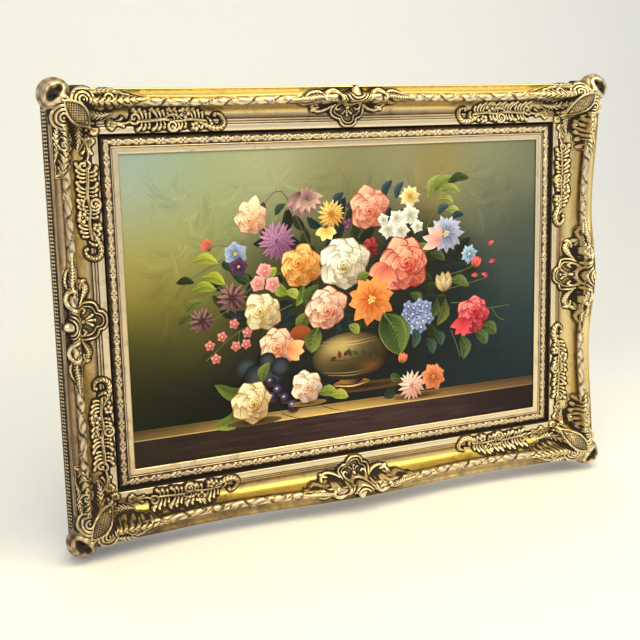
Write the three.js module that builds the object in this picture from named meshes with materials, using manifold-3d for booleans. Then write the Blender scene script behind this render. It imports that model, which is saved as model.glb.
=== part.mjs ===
// A framed oil painting: stretched canvas, inner slip, swept outer frame and its cast ornament.
// Millimetres. X runs right, Z up and -Y out of the wall. The origin is at the centre of the flat
// back face of the top rail, which rests against the wall.

import * as THREE from "three";
import { mergeVertices } from "three/addons/utils/BufferGeometryUtils.js";
import Module from "manifold-3d";

const wasm = await Module();
wasm.setup();

// Canvas and the opening that shows it.
const CANVAS_W = 914;
const CANVAS_H = 610;
const SIGHT_W = 895;
const SIGHT_H = 592;
const CANVAS_FRONT = 22.3;
const CANVAS_DEPTH = 18;
const CLOTH = 1;
const BAR_WIDTH = 45;

// Inner slip.
const SLIP_BACK = 5;
const SLIP_OUT = 34;
const TONGUE_OUT = 40;
const TONGUE_TOP = 19.6;

// Outer frame, measured outward from the sight edge and forward from the wall.
const REBATE = 40.4;
const LIP_IN = 34.4;
const LIP_BACK = 20;
const COVE_IN = 66.5;
const COVE_FOOT = 28.6;
const RIDGE_HIGH = 83;
const EDGE_HIGH = 79;
const LONG_RAIL = { ridge: 89.5, swing: 4, ridgeLow: 69, edge: 114.5, edgeLow: 64, back: 118 };
const SHORT_RAIL = { ridge: 98, swing: 4, ridgeLow: 66, edge: 121.5, edgeLow: 61, back: 128 };
const LONG_DIP = 270;
const SHORT_DIP = 150;
const LONG_STEPS = 12;
const SHORT_STEPS = 10;

// Ornament. Runs are measured from the sight corner towards the middle of the rail.
const KNOB_AT = [118, 115];
const KNOB_RADIUS = 27;
const KNOB_FORWARD = 66;
const RUN_START = -20;
const RUN_END = 200;
const RUN_STEPS = 18;
const RUN_SHIFT_LONG = 0;
const RUN_SHIFT_SHORT = -13;
const RUN_INNER = [[-20, 50], [0, 51], [50, 52], [70, 44], [120, 40], [175, 38], [200, 44]];
const RUN_OUTER = [[-20, 56], [10, 66], [28, 74], [44, 66], [70, 74], [100, 80], [160, 82], [200, 56]];
const RUN_BOSSES = [[28, 62, 13, 5], [90, 60, 20, 4], [137, 70, 11, 7], [141, 49, 11, 6], [176, 62, 16, 5]];
const CORNER_LINES = [
  [[-50, 91], [-50, 99]],
  [[-36, 87], [-36, 104]],
  [[-14, 85], [-14, 108]],
  [[8, 84], [8, 111]],
  [[28, 80], [28, 112]],
  [[42, 70], [52, 113]],
  [[48, 58], [78, 113]],
  [[51, 51], [118, 112]],
  [[56, 48], [118, 78]],
  [[70, 42], [119, 54]],
  [[84, 30], [119, 34]],
  [[93, 12], [119, 14]],
  [[95, -10], [118, -8]],
  [[98, -24], [114, -24]],
  [[101, -36], [108, -36]],
];
const CORNER_BOSSES = [[64, 98, 20, 10], [104, 58, 20, 10], [74, 70, 16, 5], [92, 90, 14, 3]];
const CARTOUCHE_HALF = 104;
const CARTOUCHE_STEPS = 18;
const CARTOUCHE_INNER = [[0, 38], [12, 46], [28, 64], [40, 66], [62, 66], [74, 72], [84, 86], [104, 90]];
const CARTOUCHE_OUTER = [[0, 113], [30, 112], [60, 108], [84, 103], [104, 97]];
const CARTOUCHE_BOSSES = [[0, 60, 22, 5], [-38, 84, 18, 9], [38, 84, 18, 9], [0, 98, 24, 8]];
const ACROSS = [[0, 0.45], [0.2, 0.95], [0.5, 1.1], [0.8, 0.95], [1, 0.45]];
const SUNK = 20;
const GAP = 0.3;
const SET_OFF = 0.5;

const HALF_W = SIGHT_W / 2;
const HALF_H = SIGHT_H / 2;
const BACK_MIDDLE = (REBATE + LONG_RAIL.back - 1) / 2;
const PICTURE_Z = -(HALF_H + BACK_MIDDLE);

const SIDES = {
  top: { long: true, at: (t, s) => [t, HALF_H + s] },
  bottom: { long: true, at: (t, s) => [-t, -HALF_H - s] },
  left: { long: false, at: (t, s) => [-HALF_W - s, t] },
  right: { long: false, at: (t, s) => [HALF_W + s, -t] },
};

function toSpace([x, z], forward) {
  return [x, -forward, z];
}

function mix(a, b, k) {
  return a + (b - a) * k;
}

function solidGeometry(points, triangles) {
  const geometry = new THREE.BufferGeometry();
  geometry.setAttribute("position", new THREE.Float32BufferAttribute(points.flat(), 3));
  geometry.setIndex(triangles.flat());
  return geometry;
}

function finish(geometry, colour, roughness, metalness) {
  const flat = geometry.toNonIndexed();
  flat.computeVertexNormals();
  const material = new THREE.MeshStandardMaterial({ color: colour, roughness, metalness });
  return new THREE.Mesh(flat, material);
}

// How far the rail has risen out of its dip, from 0 at the lowest point to 1 at corner and centre.
function sweep(long, along) {
  const dip = long ? LONG_DIP : SHORT_DIP;
  const corner = long ? HALF_W + SHORT_RAIL.ridge : HALF_H + LONG_RAIL.ridge;
  const u = Math.abs(along);
  if (u < dip) return 0.5 + 0.5 * Math.cos((Math.PI * u) / dip);
  const rest = Math.min(1, (u - dip) / (corner - dip));
  return 0.5 - 0.5 * Math.cos(Math.PI * rest);
}

// The rail's section at one place: pairs of outward offset and forward height.
function innerSection() {
  return [
    [REBATE, 0],
    [REBATE, LIP_BACK],
    [LIP_IN, LIP_BACK],
    [LIP_IN, 23],
    [36.4, 25],
    [36.8, 34.6],
    [38.2, 36],
    [48.8, 37],
    [49.6, 34.8],
    [53.4, 34.6],
    [54.2, 32.8],
    [58.4, 32.4],
    [59.2, 30.4],
    [COVE_IN, COVE_FOOT],
  ];
}

function outerSection(long, along) {
  const rail = long ? LONG_RAIL : SHORT_RAIL;
  const rise = sweep(long, along);
  const ridge = rail.ridge + rail.swing * rise;
  const top = mix(rail.ridgeLow, RIDGE_HIGH, rise);
  const edgeTop = mix(rail.edgeLow, EDGE_HIGH, rise);
  const wide = ridge - 6 - COVE_IN;
  const high = top - 11 - COVE_FOOT;
  const points = [28, 54, 78].map((degrees) => {
    const angle = (degrees * Math.PI) / 180;
    return [COVE_IN + wide * Math.sin(angle), COVE_FOOT + high * (1 - Math.cos(angle))];
  });
  points.push([ridge - 4.5, top - 2.5]);
  points.push([ridge, top]);
  points.push([ridge + 5.5, top - 2.5]);
  points.push([ridge + 8, top - 8]);
  points.push([mix(ridge + 8, rail.edge, 0.5), mix(top - 8, edgeTop, 0.5) - 4]);
  points.push([rail.edge, edgeTop]);
  points.push([rail.edge + 1.2, edgeTop - 3]);
  return points;
}

function backSection(long) {
  const { back } = long ? LONG_RAIL : SHORT_RAIL;
  return [
    [back - 2.4, 16],
    [back - 2.6, 13],
    [back - 1, 12.4],
    [back, 11],
    [back, 1],
    [back - 1, 0],
  ];
}

// Joins two lines of points that run the same way but may have different counts.
function zip(lineA, lineB, triangles) {
  let a = 0;
  let b = 0;
  while (a < lineA.length - 1 || b < lineB.length - 1) {
    const nextA = (a + 1) / (lineA.length - 1);
    const nextB = (b + 1) / (lineB.length - 1);
    if (b >= lineB.length - 1 || (a < lineA.length - 1 && nextA <= nextB)) {
      triangles.push([lineA[a], lineA[a + 1], lineB[b]]);
      a += 1;
    } else {
      triangles.push([lineA[a], lineB[b + 1], lineB[b]]);
      b += 1;
    }
  }
}

// A mitred length whose section lines run straight or swept from corner to corner.
function mitredSolid(side, lines, grow = 0) {
  const { at } = SIDES[side];
  const points = [];
  const rows = lines.map(({ places, reach }) => {
    return places.map(([tau, s, forward]) => {
      const end = reach - GAP / 1.5 + grow;
      points.push(toSpace(at(tau * end, s), forward));
      return points.length - 1;
    });
  });
  const triangles = [];
  rows.forEach((row, k) => zip(row, rows[(k + 1) % rows.length], triangles));
  const profile = lines.map(({ places }) => new THREE.Vector2(places[0][1], places[0][2]));
  const caps = THREE.ShapeUtils.triangulateShape(profile, []);
  const turned = THREE.ShapeUtils.isClockWise(profile);
  for (const [a, b, c] of caps) {
    const first = [rows[a][0], rows[b][0], rows[c][0]];
    const last = [rows[c].at(-1), rows[b].at(-1), rows[a].at(-1)];
    triangles.push(turned ? first.reverse() : first);
    triangles.push(turned ? last.reverse() : last);
  }
  return outwards(solidGeometry(points, triangles));
}

// Turns every face of a closed mesh so that its volume is positive.
function outwards(geometry) {
  const place = geometry.getAttribute("position");
  const index = geometry.getIndex();
  const [a, b, c] = [new THREE.Vector3(), new THREE.Vector3(), new THREE.Vector3()];
  let volume = 0;
  for (let i = 0; i < index.count; i += 3) {
    a.fromBufferAttribute(place, index.getX(i));
    b.fromBufferAttribute(place, index.getX(i + 1));
    c.fromBufferAttribute(place, index.getX(i + 2));
    volume += a.dot(b.cross(c));
  }
  if (volume < 0) {
    for (let i = 0; i < index.count; i += 3) {
      const kept = index.getX(i);
      index.setX(i, index.getX(i + 2));
      index.setX(i + 2, kept);
    }
  }
  return geometry;
}

function straightLine([s, forward], half, across) {
  return { reach: half + across, places: [[-1, s, forward], [1, s, forward]] };
}

function wholeSection(long, along) {
  return [...innerSection(), ...outerSection(long, along), ...backSection(long)];
}

// A section moved outward along its normals, all round.
function grown(section, grow) {
  const count = section.length;
  return section.map(([s, forward], k) => {
    const [s0, f0] = section[(k + count - 1) % count];
    const [s1, f1] = section[(k + 1) % count];
    const size = Math.hypot(s1 - s0, f1 - f0);
    return [s - (grow * (f1 - f0)) / size, forward + (grow * (s1 - s0)) / size];
  });
}

function railGeometry(side, grow = 0) {
  const { long } = SIDES[side];
  const half = long ? HALF_W : HALF_H;
  const steps = long ? LONG_STEPS : SHORT_STEPS;
  const swept = outerSection(long, 0).length;
  const first = innerSection().length;
  const crossing = wholeSection(!long, 1e4);
  const lines = crossing.map(([across], k) => {
    const reach = half + across;
    const count = k >= first && k < first + swept ? steps : 1;
    const places = [];
    for (let j = 0; j <= count; j += 1) {
      const tau = -1 + (2 * j) / count;
      const section = grown(wholeSection(long, tau * reach), grow);
      places.push([tau, ...section[k]]);
    }
    return { reach, places };
  });
  return mitredSolid(side, lines, grow);
}

function slipGeometry(side) {
  const half = SIDES[side].long ? HALF_W : HALF_H;
  const section = [
    [0, 22.9],
    [0, 26],
    [2.2, 27.4],
    [11.4, 27.6],
    [12.2, 29],
    [14, 29],
    [14.6, 28],
    [16.4, 30],
    [22, 32],
    [27.6, 30.6],
    [29.6, 28.4],
    [31, 27.4],
    [33.6, 24.4],
    [SLIP_OUT, TONGUE_TOP],
    [TONGUE_OUT, TONGUE_TOP],
    [TONGUE_OUT, SLIP_BACK],
    [10.3, SLIP_BACK],
    [10.3, 22.9],
  ];
  return mitredSolid(side, section.map((point) => straightLine(point, half, point[0])));
}

function barGeometry(side) {
  const { long } = SIDES[side];
  const half = (long ? CANVAS_W - SIGHT_W : CANVAS_H - SIGHT_H) / 2;
  const other = (long ? CANVAS_H - SIGHT_H : CANVAS_W - SIGHT_W) / 2;
  const front = CANVAS_FRONT - CLOTH - GAP;
  const back = CANVAS_FRONT - CANVAS_DEPTH;
  const rim = CLOTH + GAP;
  const section = [
    [rim, back],
    [rim, front],
    [6, front],
    [BAR_WIDTH, front - 2],
    [BAR_WIDTH, back],
  ];
  const base = long ? HALF_W : HALF_H;
  return mitredSolid(
    side,
    section.map(([inward, forward]) => {
      return straightLine([other - inward, forward], base, half - inward);
    }),
  );
}

function box(width, depth, height, forward) {
  const geometry = new THREE.BoxGeometry(width, depth, height);
  geometry.translate(0, -forward, 0);
  return geometry;
}

function asSolid(geometry) {
  const bare = geometry.clone();
  for (const name of ["normal", "uv"]) bare.deleteAttribute(name);
  const merged = mergeVertices(bare, 1e-4);
  const vertProperties = new Float32Array(merged.getAttribute("position").array);
  const triVerts = new Uint32Array(merged.getIndex().array);
  return new wasm.Manifold(new wasm.Mesh({ numProp: 3, vertProperties, triVerts }));
}

function fromSolid(solid) {
  const mesh = solid.getMesh();
  const geometry = new THREE.BufferGeometry();
  const places = new Float32Array(mesh.vertProperties);
  geometry.setAttribute("position", new THREE.BufferAttribute(places, 3));
  geometry.setIndex([...mesh.triVerts]);
  return geometry;
}

// The cloth over the bars: a sheet with its edges turned back, open behind.
function canvasGeometry() {
  const middle = CANVAS_FRONT - CANVAS_DEPTH / 2;
  const outer = asSolid(box(CANVAS_W, CANVAS_DEPTH, CANVAS_H, middle));
  const room = box(CANVAS_W - 2 * CLOTH, CANVAS_DEPTH, CANVAS_H - 2 * CLOTH, middle - CLOTH);
  return fromSolid(outer.subtract(asSolid(room)));
}

// The frame's front surface under a point of the plan.
function surface(x, z) {
  const sx = Math.abs(x) - HALF_W;
  const sz = Math.abs(z) - HALF_H;
  const long = sz * SHORT_RAIL.back >= sx * LONG_RAIL.back;
  const s = long ? sz : sx;
  const along = long ? x : z;
  const line = [...innerSection().slice(4), ...outerSection(long, along)];
  if (s >= line.at(-1)[0]) return line.at(-1)[1] - 14;
  for (let k = 1; k < line.length; k += 1) {
    const [s0, f0] = line[k - 1];
    const [s1, f1] = line[k];
    if (s <= s1) return mix(f0, f1, Math.max(0, (s - s0) / Math.max(1e-6, s1 - s0)));
  }
  return COVE_FOOT;
}

// A height taken from a short table of [place, value] pairs.
function table(rows, place) {
  if (place <= rows[0][0]) return rows[0][1];
  for (let k = 1; k < rows.length; k += 1) {
    const [x0, y0] = rows[k - 1];
    const [x1, y1] = rows[k];
    if (place <= x1) return mix(y0, y1, (place - x0) / (x1 - x0));
  }
  return rows.at(-1)[1];
}

// A casting lofted over the frame. Each station has an inner and an outer plan point. The crown is
// raised by the bosses, and every second station is drawn in to part one leaf from the next.
function relief(stations, crown, bosses) {
  const points = [];
  stations.forEach(({ inner, outer }, j) => {
    const drawn = j % 2 ? 0.04 : 0;
    const ring = ACROSS.map(([part, lift]) => {
      const k = mix(part, 0.5, drawn * 2);
      const x = mix(inner[0], outer[0], k);
      const z = mix(inner[1], outer[1], k);
      let high = crown * lift * (1 - drawn * 5);
      for (const [bx, bz, radius, rise] of bosses) {
        const far = Math.hypot(x - bx, z - bz) / radius;
        high += far < 1 ? rise * (1 - far * far) : 0;
      }
      return [x, -(surface(x, z) + high), z];
    });
    points.push([ring[0][0], -SUNK, ring[0][2]], ...ring, [ring.at(-1)[0], -SUNK, ring.at(-1)[2]]);
  });
  const size = ACROSS.length + 2;
  const triangles = [];
  for (let j = 0; j < stations.length - 1; j += 1) {
    for (let i = 0; i < size; i += 1) {
      const a = j * size + i;
      const b = j * size + ((i + 1) % size);
      triangles.push([a, b, b + size], [a, b + size, a + size]);
    }
  }
  const last = (stations.length - 1) * size;
  for (let i = 1; i < size - 1; i += 1) {
    triangles.push([0, i + 1, i], [last, last + i, last + i + 1]);
  }
  return asSolid(outwards(solidGeometry(points, triangles)));
}

function ball(x, z, forward, radius) {
  const geometry = new THREE.SphereGeometry(radius, 9, 6);
  geometry.translate(x, -forward, z);
  return asSolid(geometry);
}

// The largest body of a solid, without the crumbs that a cut may leave.
function largest(solid) {
  const bodies = solid.decompose();
  return bodies.reduce((best, body) => (body.volume() > best.volume() ? body : best));
}

function cutAway(solid, cutters) {
  let whole = solid;
  for (const cutter of cutters) whole = whole.subtract(cutter);
  return fromSolid(largest(whole));
}

// One foliage run: a shell bud, a stem with its ring, leaf sprays, two flowers and a hooked tip.
function foliage(side, way, cutter) {
  const { long, at } = SIDES[side];
  const half = long ? HALF_W : HALF_H;
  const shift = long ? RUN_SHIFT_LONG : RUN_SHIFT_SHORT;
  const plan = (p, s) => at(way * (half - p - shift), s);
  const stations = [];
  for (let j = 0; j <= RUN_STEPS; j += 1) {
    const p = mix(RUN_START, RUN_END, j / RUN_STEPS);
    stations.push({ inner: plan(p, table(RUN_INNER, p)), outer: plan(p, table(RUN_OUTER, p)) });
  }
  const bosses = RUN_BOSSES.map(([p, s, radius, rise]) => [...plan(p, s), radius, rise]);
  return cutAway(relief(stations, 8, bosses), [cutter]);
}

// A corner casting: leafy arms along both rails, a panel between them and a bulb at the corner.
function corner(signX, signZ, cutters) {
  const plan = ([sx, sz]) => [signX * (HALF_W + sx), signZ * (HALF_H + sz)];
  const stations = CORNER_LINES.map(([inner, outer]) => ({ inner: plan(inner), outer: plan(outer) }));
  const bosses = CORNER_BOSSES.map(([sx, sz, radius, rise]) => [...plan([sx, sz]), radius, rise]);
  const knob = ball(...plan(KNOB_AT), KNOB_FORWARD, KNOB_RADIUS);
  return cutAway(relief(stations, 8, bosses).add(knob), cutters);
}

// A centre casting: a shield that points at the picture, scrolls, a hood of arches and leafy tails.
function cartouche(side, cutter) {
  const { at } = SIDES[side];
  const rail = SIDES[side].long ? LONG_RAIL : SHORT_RAIL;
  const out = rail.ridge - LONG_RAIL.ridge;
  const stations = [];
  for (let j = 0; j <= CARTOUCHE_STEPS; j += 1) {
    const t = mix(-CARTOUCHE_HALF, CARTOUCHE_HALF, j / CARTOUCHE_STEPS);
    const inner = table(CARTOUCHE_INNER, Math.abs(t));
    const outer = table(CARTOUCHE_OUTER, Math.abs(t));
    const away = inner > 60 ? out : 0;
    stations.push({ inner: at(t, inner + away), outer: at(t, outer + out) });
  }
  const bosses = CARTOUCHE_BOSSES.map(([t, s, radius, rise]) => {
    return [...at(t, s + (s > 60 ? out : 0)), radius, rise];
  });
  return cutAway(relief(stations, 8, bosses), [cutter]);
}

const GILT = "#b8975a";
const WARM_GILT = "#a57c3f";
const SLIP_GILT = "#c9b186";

const picture = new THREE.Group();
picture.position.set(0, 0, PICTURE_Z);

function put(name, geometry, colour, roughness, metalness) {
  const mesh = finish(geometry, colour, roughness, metalness);
  mesh.name = name;
  picture.add(mesh);
}

const setOff = {};
for (const side of Object.keys(SIDES)) {
  const rail = railGeometry(side);
  put(`rail_${side}`, rail, GILT, 0.4, 0.8);
  put(`liner_${side}`, slipGeometry(side), SLIP_GILT, 0.45, 0.7);
  put(`bar_${side}`, barGeometry(side), "#c39a63", 0.7, 0);
  setOff[side] = asSolid(railGeometry(side, SET_OFF));
}
put("canvas", canvasGeometry(), "#4a4a33", 0.55, 0);

for (const side of Object.keys(SIDES)) {
  put(`cartouche_${side}`, cartouche(side, setOff[side]), WARM_GILT, 0.4, 0.8);
}
const CORNERS = { tl: [-1, 1], tr: [1, 1], bl: [-1, -1], br: [1, -1] };
for (const [name, [signX, signZ]] of Object.entries(CORNERS)) {
  const cutters = [setOff[signZ > 0 ? "top" : "bottom"], setOff[signX > 0 ? "right" : "left"]];
  put(`corner_${name}`, corner(signX, signZ, cutters), WARM_GILT, 0.4, 0.8);
}
const RUNS = {
  foliage_top_left: ["top", -1],
  foliage_top_right: ["top", 1],
  foliage_bottom_left: ["bottom", 1],
  foliage_bottom_right: ["bottom", -1],
  foliage_left_upper: ["left", 1],
  foliage_left_lower: ["left", -1],
  foliage_right_upper: ["right", -1],
  foliage_right_lower: ["right", 1],
};
for (const [name, [side, way]] of Object.entries(RUNS)) {
  put(name, foliage(side, way, setOff[side]), WARM_GILT, 0.4, 0.8);
}

const painting = new THREE.Group();
painting.add(picture);

export default painting;
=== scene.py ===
"""A framed flower picture: stretched canvas, gilt slip, swept outer frame and cast ornament.

The shape functions work in millimetres. "along" runs down the middle of a rail, "s" outward from the
sight edge, and "forward" out of the wall. Objects are made in metres, X right, Z up, the wall at Y = 0.
"""

import math

import bpy
import numpy as np
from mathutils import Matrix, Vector


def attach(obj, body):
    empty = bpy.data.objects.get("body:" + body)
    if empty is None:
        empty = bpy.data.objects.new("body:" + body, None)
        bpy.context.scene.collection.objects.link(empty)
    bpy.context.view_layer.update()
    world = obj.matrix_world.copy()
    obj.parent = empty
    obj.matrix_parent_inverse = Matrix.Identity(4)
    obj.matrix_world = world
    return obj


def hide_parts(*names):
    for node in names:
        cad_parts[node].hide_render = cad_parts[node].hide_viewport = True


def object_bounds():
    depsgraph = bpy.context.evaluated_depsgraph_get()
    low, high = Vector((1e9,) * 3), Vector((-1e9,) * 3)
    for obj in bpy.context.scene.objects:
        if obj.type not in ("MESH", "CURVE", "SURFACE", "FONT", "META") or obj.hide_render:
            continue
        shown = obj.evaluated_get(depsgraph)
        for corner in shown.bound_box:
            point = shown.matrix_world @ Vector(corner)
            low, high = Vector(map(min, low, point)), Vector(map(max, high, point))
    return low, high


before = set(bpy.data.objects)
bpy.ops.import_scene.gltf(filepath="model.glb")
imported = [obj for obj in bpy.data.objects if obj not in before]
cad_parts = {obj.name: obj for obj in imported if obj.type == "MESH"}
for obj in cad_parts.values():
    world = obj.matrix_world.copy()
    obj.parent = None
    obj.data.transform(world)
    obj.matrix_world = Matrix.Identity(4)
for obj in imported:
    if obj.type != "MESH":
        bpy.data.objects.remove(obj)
CAD_BOX = [list(corner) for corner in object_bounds()]

bl_info = {
    "name": "Framed flower picture",
    "version": (1, 0, 0),
    "blender": (4, 5, 0),
    "location": "View3D > Sidebar > Picture",
    "description": "Builds a gilt swept frame with its ornament and painted canvas",
    "category": "Object",
}

# The opening and the mouldings, as they stand in the frame that was loaded.
HALF_W = 447.5
HALF_H = 296.0
PICTURE_Z = -374.7
CANVAS_W = 914.0
CANVAS_H = 610.0
CANVAS_FRONT = 22.3
CANVAS_DEPTH = 18.0
CANVAS_CELLS = (104, 70)
CLOTH = 0.9
COVE_IN = 66.5
COVE_FOOT = 28.6
RIDGE_HIGH = 83.0
EDGE_HIGH = 79.0
LONG_RAIL = {
    "half": HALF_W, "cross": HALF_H, "dip": 270.0, "ridge": 89.5, "swing": 4.0,
    "ridge_low": 69.0, "edge": 114.5, "edge_low": 64.0, "back": 118.0, "next_ridge": 98.0,
}
SHORT_RAIL = {
    "half": HALF_H, "cross": HALF_W, "dip": 150.0, "ridge": 98.0, "swing": 4.0,
    "ridge_low": 66.0, "edge": 121.5, "edge_low": 61.0, "back": 128.0, "next_ridge": 89.5,
}
SIDES = ("top", "bottom", "left", "right")
# How much dark toning each casting starts with, more on the left side and its lower corner.
AGED = {
    "top": 0.09, "bottom": 0.10, "left": 0.12, "right": 0.11,
    "tl": 0.11, "tr": 0.11, "bl": 0.13, "br": 0.13,
}
# Painted reflection and painted shade on each side: how much warm reflected light is painted into the
# leaf of the cove and of the outer hollow, and how much painted shade darkens them.
COVE_PAINTED_REFLECTION = {"top": 0.55, "bottom": 1.0, "left": 0.85, "right": 0.4}
COVE_PAINTED_SHADE = {"top": 0.12, "bottom": 0.0, "left": 0.17, "right": 0.10}
OUTER_PAINTED_REFLECTION = {"top": 1.0, "bottom": 0.55, "left": 0.0, "right": 0.5}
OUTER_PAINTED_SHADE = {"top": 0.0, "bottom": 0.24, "left": 0.16, "right": 0.04}
# How far the ribbon wraps down each side of the crest.
RIBBON_TURN = math.radians(97)
# The slack at each mitre, the furthest a casting may reach, and how deep its edge is bedded.
GAP = 0.2
FRONT_LIMIT = 96.2
SUNK = 1.6


# ---------------------------------------------------------------- settings


def tint(name, text, value):
    """A colour setting."""
    return bpy.props.FloatVectorProperty(
        name=name, description=text, subtype="COLOR", size=3, min=0, max=1, default=value
    )


def length(name, text, value):
    """A length setting, in metres."""
    return bpy.props.FloatProperty(
        name=name, description=text, default=value, unit="LENGTH", subtype="DISTANCE"
    )


def share(name, text, value):
    """A setting from 0 to 1."""
    return bpy.props.FloatProperty(name=name, description=text, default=value, min=0, max=1)


class PictureSizes(bpy.types.PropertyGroup):
    """How finely the pieces are made, and the sizes of their relief."""

    rail_step: length("Rail step", "Distance between sections of a rail", 0.0024)
    slip_step: length("Slip step", "Distance between sections of the slip", 0.0015)
    corner_pitch: length("Corner pitch", "Mesh pitch on the corner castings", 0.00105)
    cartouche_pitch: length("Cartouche pitch", "Mesh pitch on the centre castings", 0.00105)
    foliage_pitch: length("Foliage pitch", "Mesh pitch on the leaf runs", 0.00088)
    pearl: length("Pearl radius", "Radius of the pearls along the back edge", 0.0026)
    pearl_pitch: length("Pearl pitch", "Distance between pearls", 0.0066)
    weave: length("Weave", "Thread spacing of the linen", 0.0009)


class PictureColours(bpy.types.PropertyGroup):
    """Colours of the gilding, its patina, the wood and the linen."""

    pale_gold: tint("Pale gold", "Rubbed metal leaf on flats and crests", (0.72, 0.60, 0.43))
    rich_gold: tint("Rich gold", "Leaf in the smooth hollows", (0.92, 0.72, 0.22))
    clay: tint("Clay", "Brown size that shows through the leaf", (0.25, 0.105, 0.03))
    # The dark toning colour is also the colour of the painted shade in the quirks, coves and outer
    # hollows.
    patina_and_shade: tint("Patina_And_Shade", "Dark toning that lies in the recesses", (0.016, 0.010, 0.006))
    raw_wood: tint("Raw wood", "Pine of the stretcher", (0.60, 0.40, 0.21))
    toned_wood: tint("Toned wood", "Stained back of the mouldings", (0.20, 0.11, 0.05))
    linen: tint("Linen", "Unprimed back of the canvas", (0.52, 0.44, 0.32))
    wear: share("Wear", "How much of the leaf is rubbed at the crests", 0.5)


class PictureStage(bpy.types.PropertyGroup):
    """Camera, floor and lights."""

    place: bpy.props.FloatVectorProperty(
        name="Camera place", description="Where the camera stands", size=3, unit="LENGTH",
        subtype="TRANSLATION", default=(-0.8071, -1.8271, -0.0207),
    )
    turn: bpy.props.FloatVectorProperty(
        name="Camera turn", description="Camera rotation about X, Y and Z", size=3,
        subtype="EULER", default=(1.408514, 0.022462, -0.398872),
    )
    lens: bpy.props.FloatProperty(
        name="Lens", description="Focal length in millimetres", default=55.92, min=10, max=200
    )
    across: bpy.props.FloatProperty(name="Shift across", description="Lens shift", default=-0.0035)
    up: bpy.props.FloatProperty(name="Shift up", description="Lens shift", default=-0.0628)
    floor_drop: length("Floor drop", "Gap between the frame and the floor", 0.004)
    warm: tint("Warm light", "Colour of the lamp overhead", (1.0, 0.84, 0.42))
    overhead: bpy.props.FloatProperty(
        name="Overhead", description="Strength of the overhead lamp in watts", default=44.0, min=0
    )
    window: bpy.props.FloatProperty(
        name="Front", description="Strength of the soft front light in watts", default=27.0, min=0
    )
    sky: share("Sky", "Brightness of the room", 0.50)


# ---------------------------------------------------------------- small maths


def mix(a, b, k):
    """Part of the way from a to b."""
    return a + (b - a) * k


def ease(a, b, x):
    """0 up to a, 1 from b on, and a smooth rise between."""
    t = np.clip((x - a) / (b - a), 0.0, 1.0)
    return t * t * (3 - 2 * t)


def kernel(radius):
    """The weights of a soft window, which add up to 1."""
    reach = max(1, int(math.ceil(radius * 2.2)))
    k = np.exp(-0.5 * (np.arange(-reach, reach + 1) / radius) ** 2)
    return k / k.sum()


def blurred(field, radius):
    """A grid smoothed with a soft window of so many cells."""
    k = kernel(radius)
    reach = len(k) // 2
    out = np.pad(field, reach, mode="edge")
    out = np.apply_along_axis(lambda row: np.convolve(row, k, mode="valid"), 0, out)
    return np.apply_along_axis(lambda row: np.convolve(row, k, mode="valid"), 1, out)


def curve(points, count):
    """A smooth line through the points, evenly stepped in parameter."""
    p = np.asarray(points, float)
    p = np.vstack([2 * p[0] - p[1], p, 2 * p[-1] - p[-2]])
    t = np.linspace(0, len(p) - 3, count)
    k = np.minimum(t.astype(int), len(p) - 4)
    f = (t - k)[:, None]
    a, b, c, d = p[k], p[k + 1], p[k + 2], p[k + 3]
    return 0.5 * (
        2 * b + (c - a) * f + (2 * a - 5 * b + 4 * c - d) * f**2 + (3 * b - a - 3 * c + d) * f**3
    )


def rise(rail, along):
    """0 where the rail is lowest, 1 at its middle and its corners."""
    u = np.abs(along)
    corner = rail["half"] + rail["next_ridge"]
    middle = 0.5 + 0.5 * np.cos(np.pi * np.minimum(u, rail["dip"]) / rail["dip"])
    rest = np.clip((u - rail["dip"]) / (corner - rail["dip"]), 0, 1)
    return np.where(u < rail["dip"], middle, 0.5 - 0.5 * np.cos(np.pi * rest))


# ---------------------------------------------------------------- the moulding's section

# Fillets from the rebate lip outward: offset, forward, darkness. The dark values at the steps are dark
# toning in the quirks together with painted shade.
FILLETS = [
    (34.4, 23.0, 1.0), (36.4, 25.0, 0.9), (36.8, 34.6, 0.35), (37.4, 35.7, 0.0), (38.8, 36.4, 0.0),
    (43.5, 36.9, 0.0), (47.6, 37.0, 0.0), (48.8, 36.6, 0.0), (49.5, 35.0, 0.75), (50.6, 34.7, 0.25),
    (52.6, 34.8, 0.0), (53.5, 34.3, 0.0), (54.1, 32.9, 0.75), (55.2, 32.6, 0.2), (57.6, 32.6, 0.0),
    (58.5, 32.1, 0.0), (59.1, 30.5, 0.8), (60.4, 29.7, 0.3), (66.5, 28.6, 0.12),
]


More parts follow.
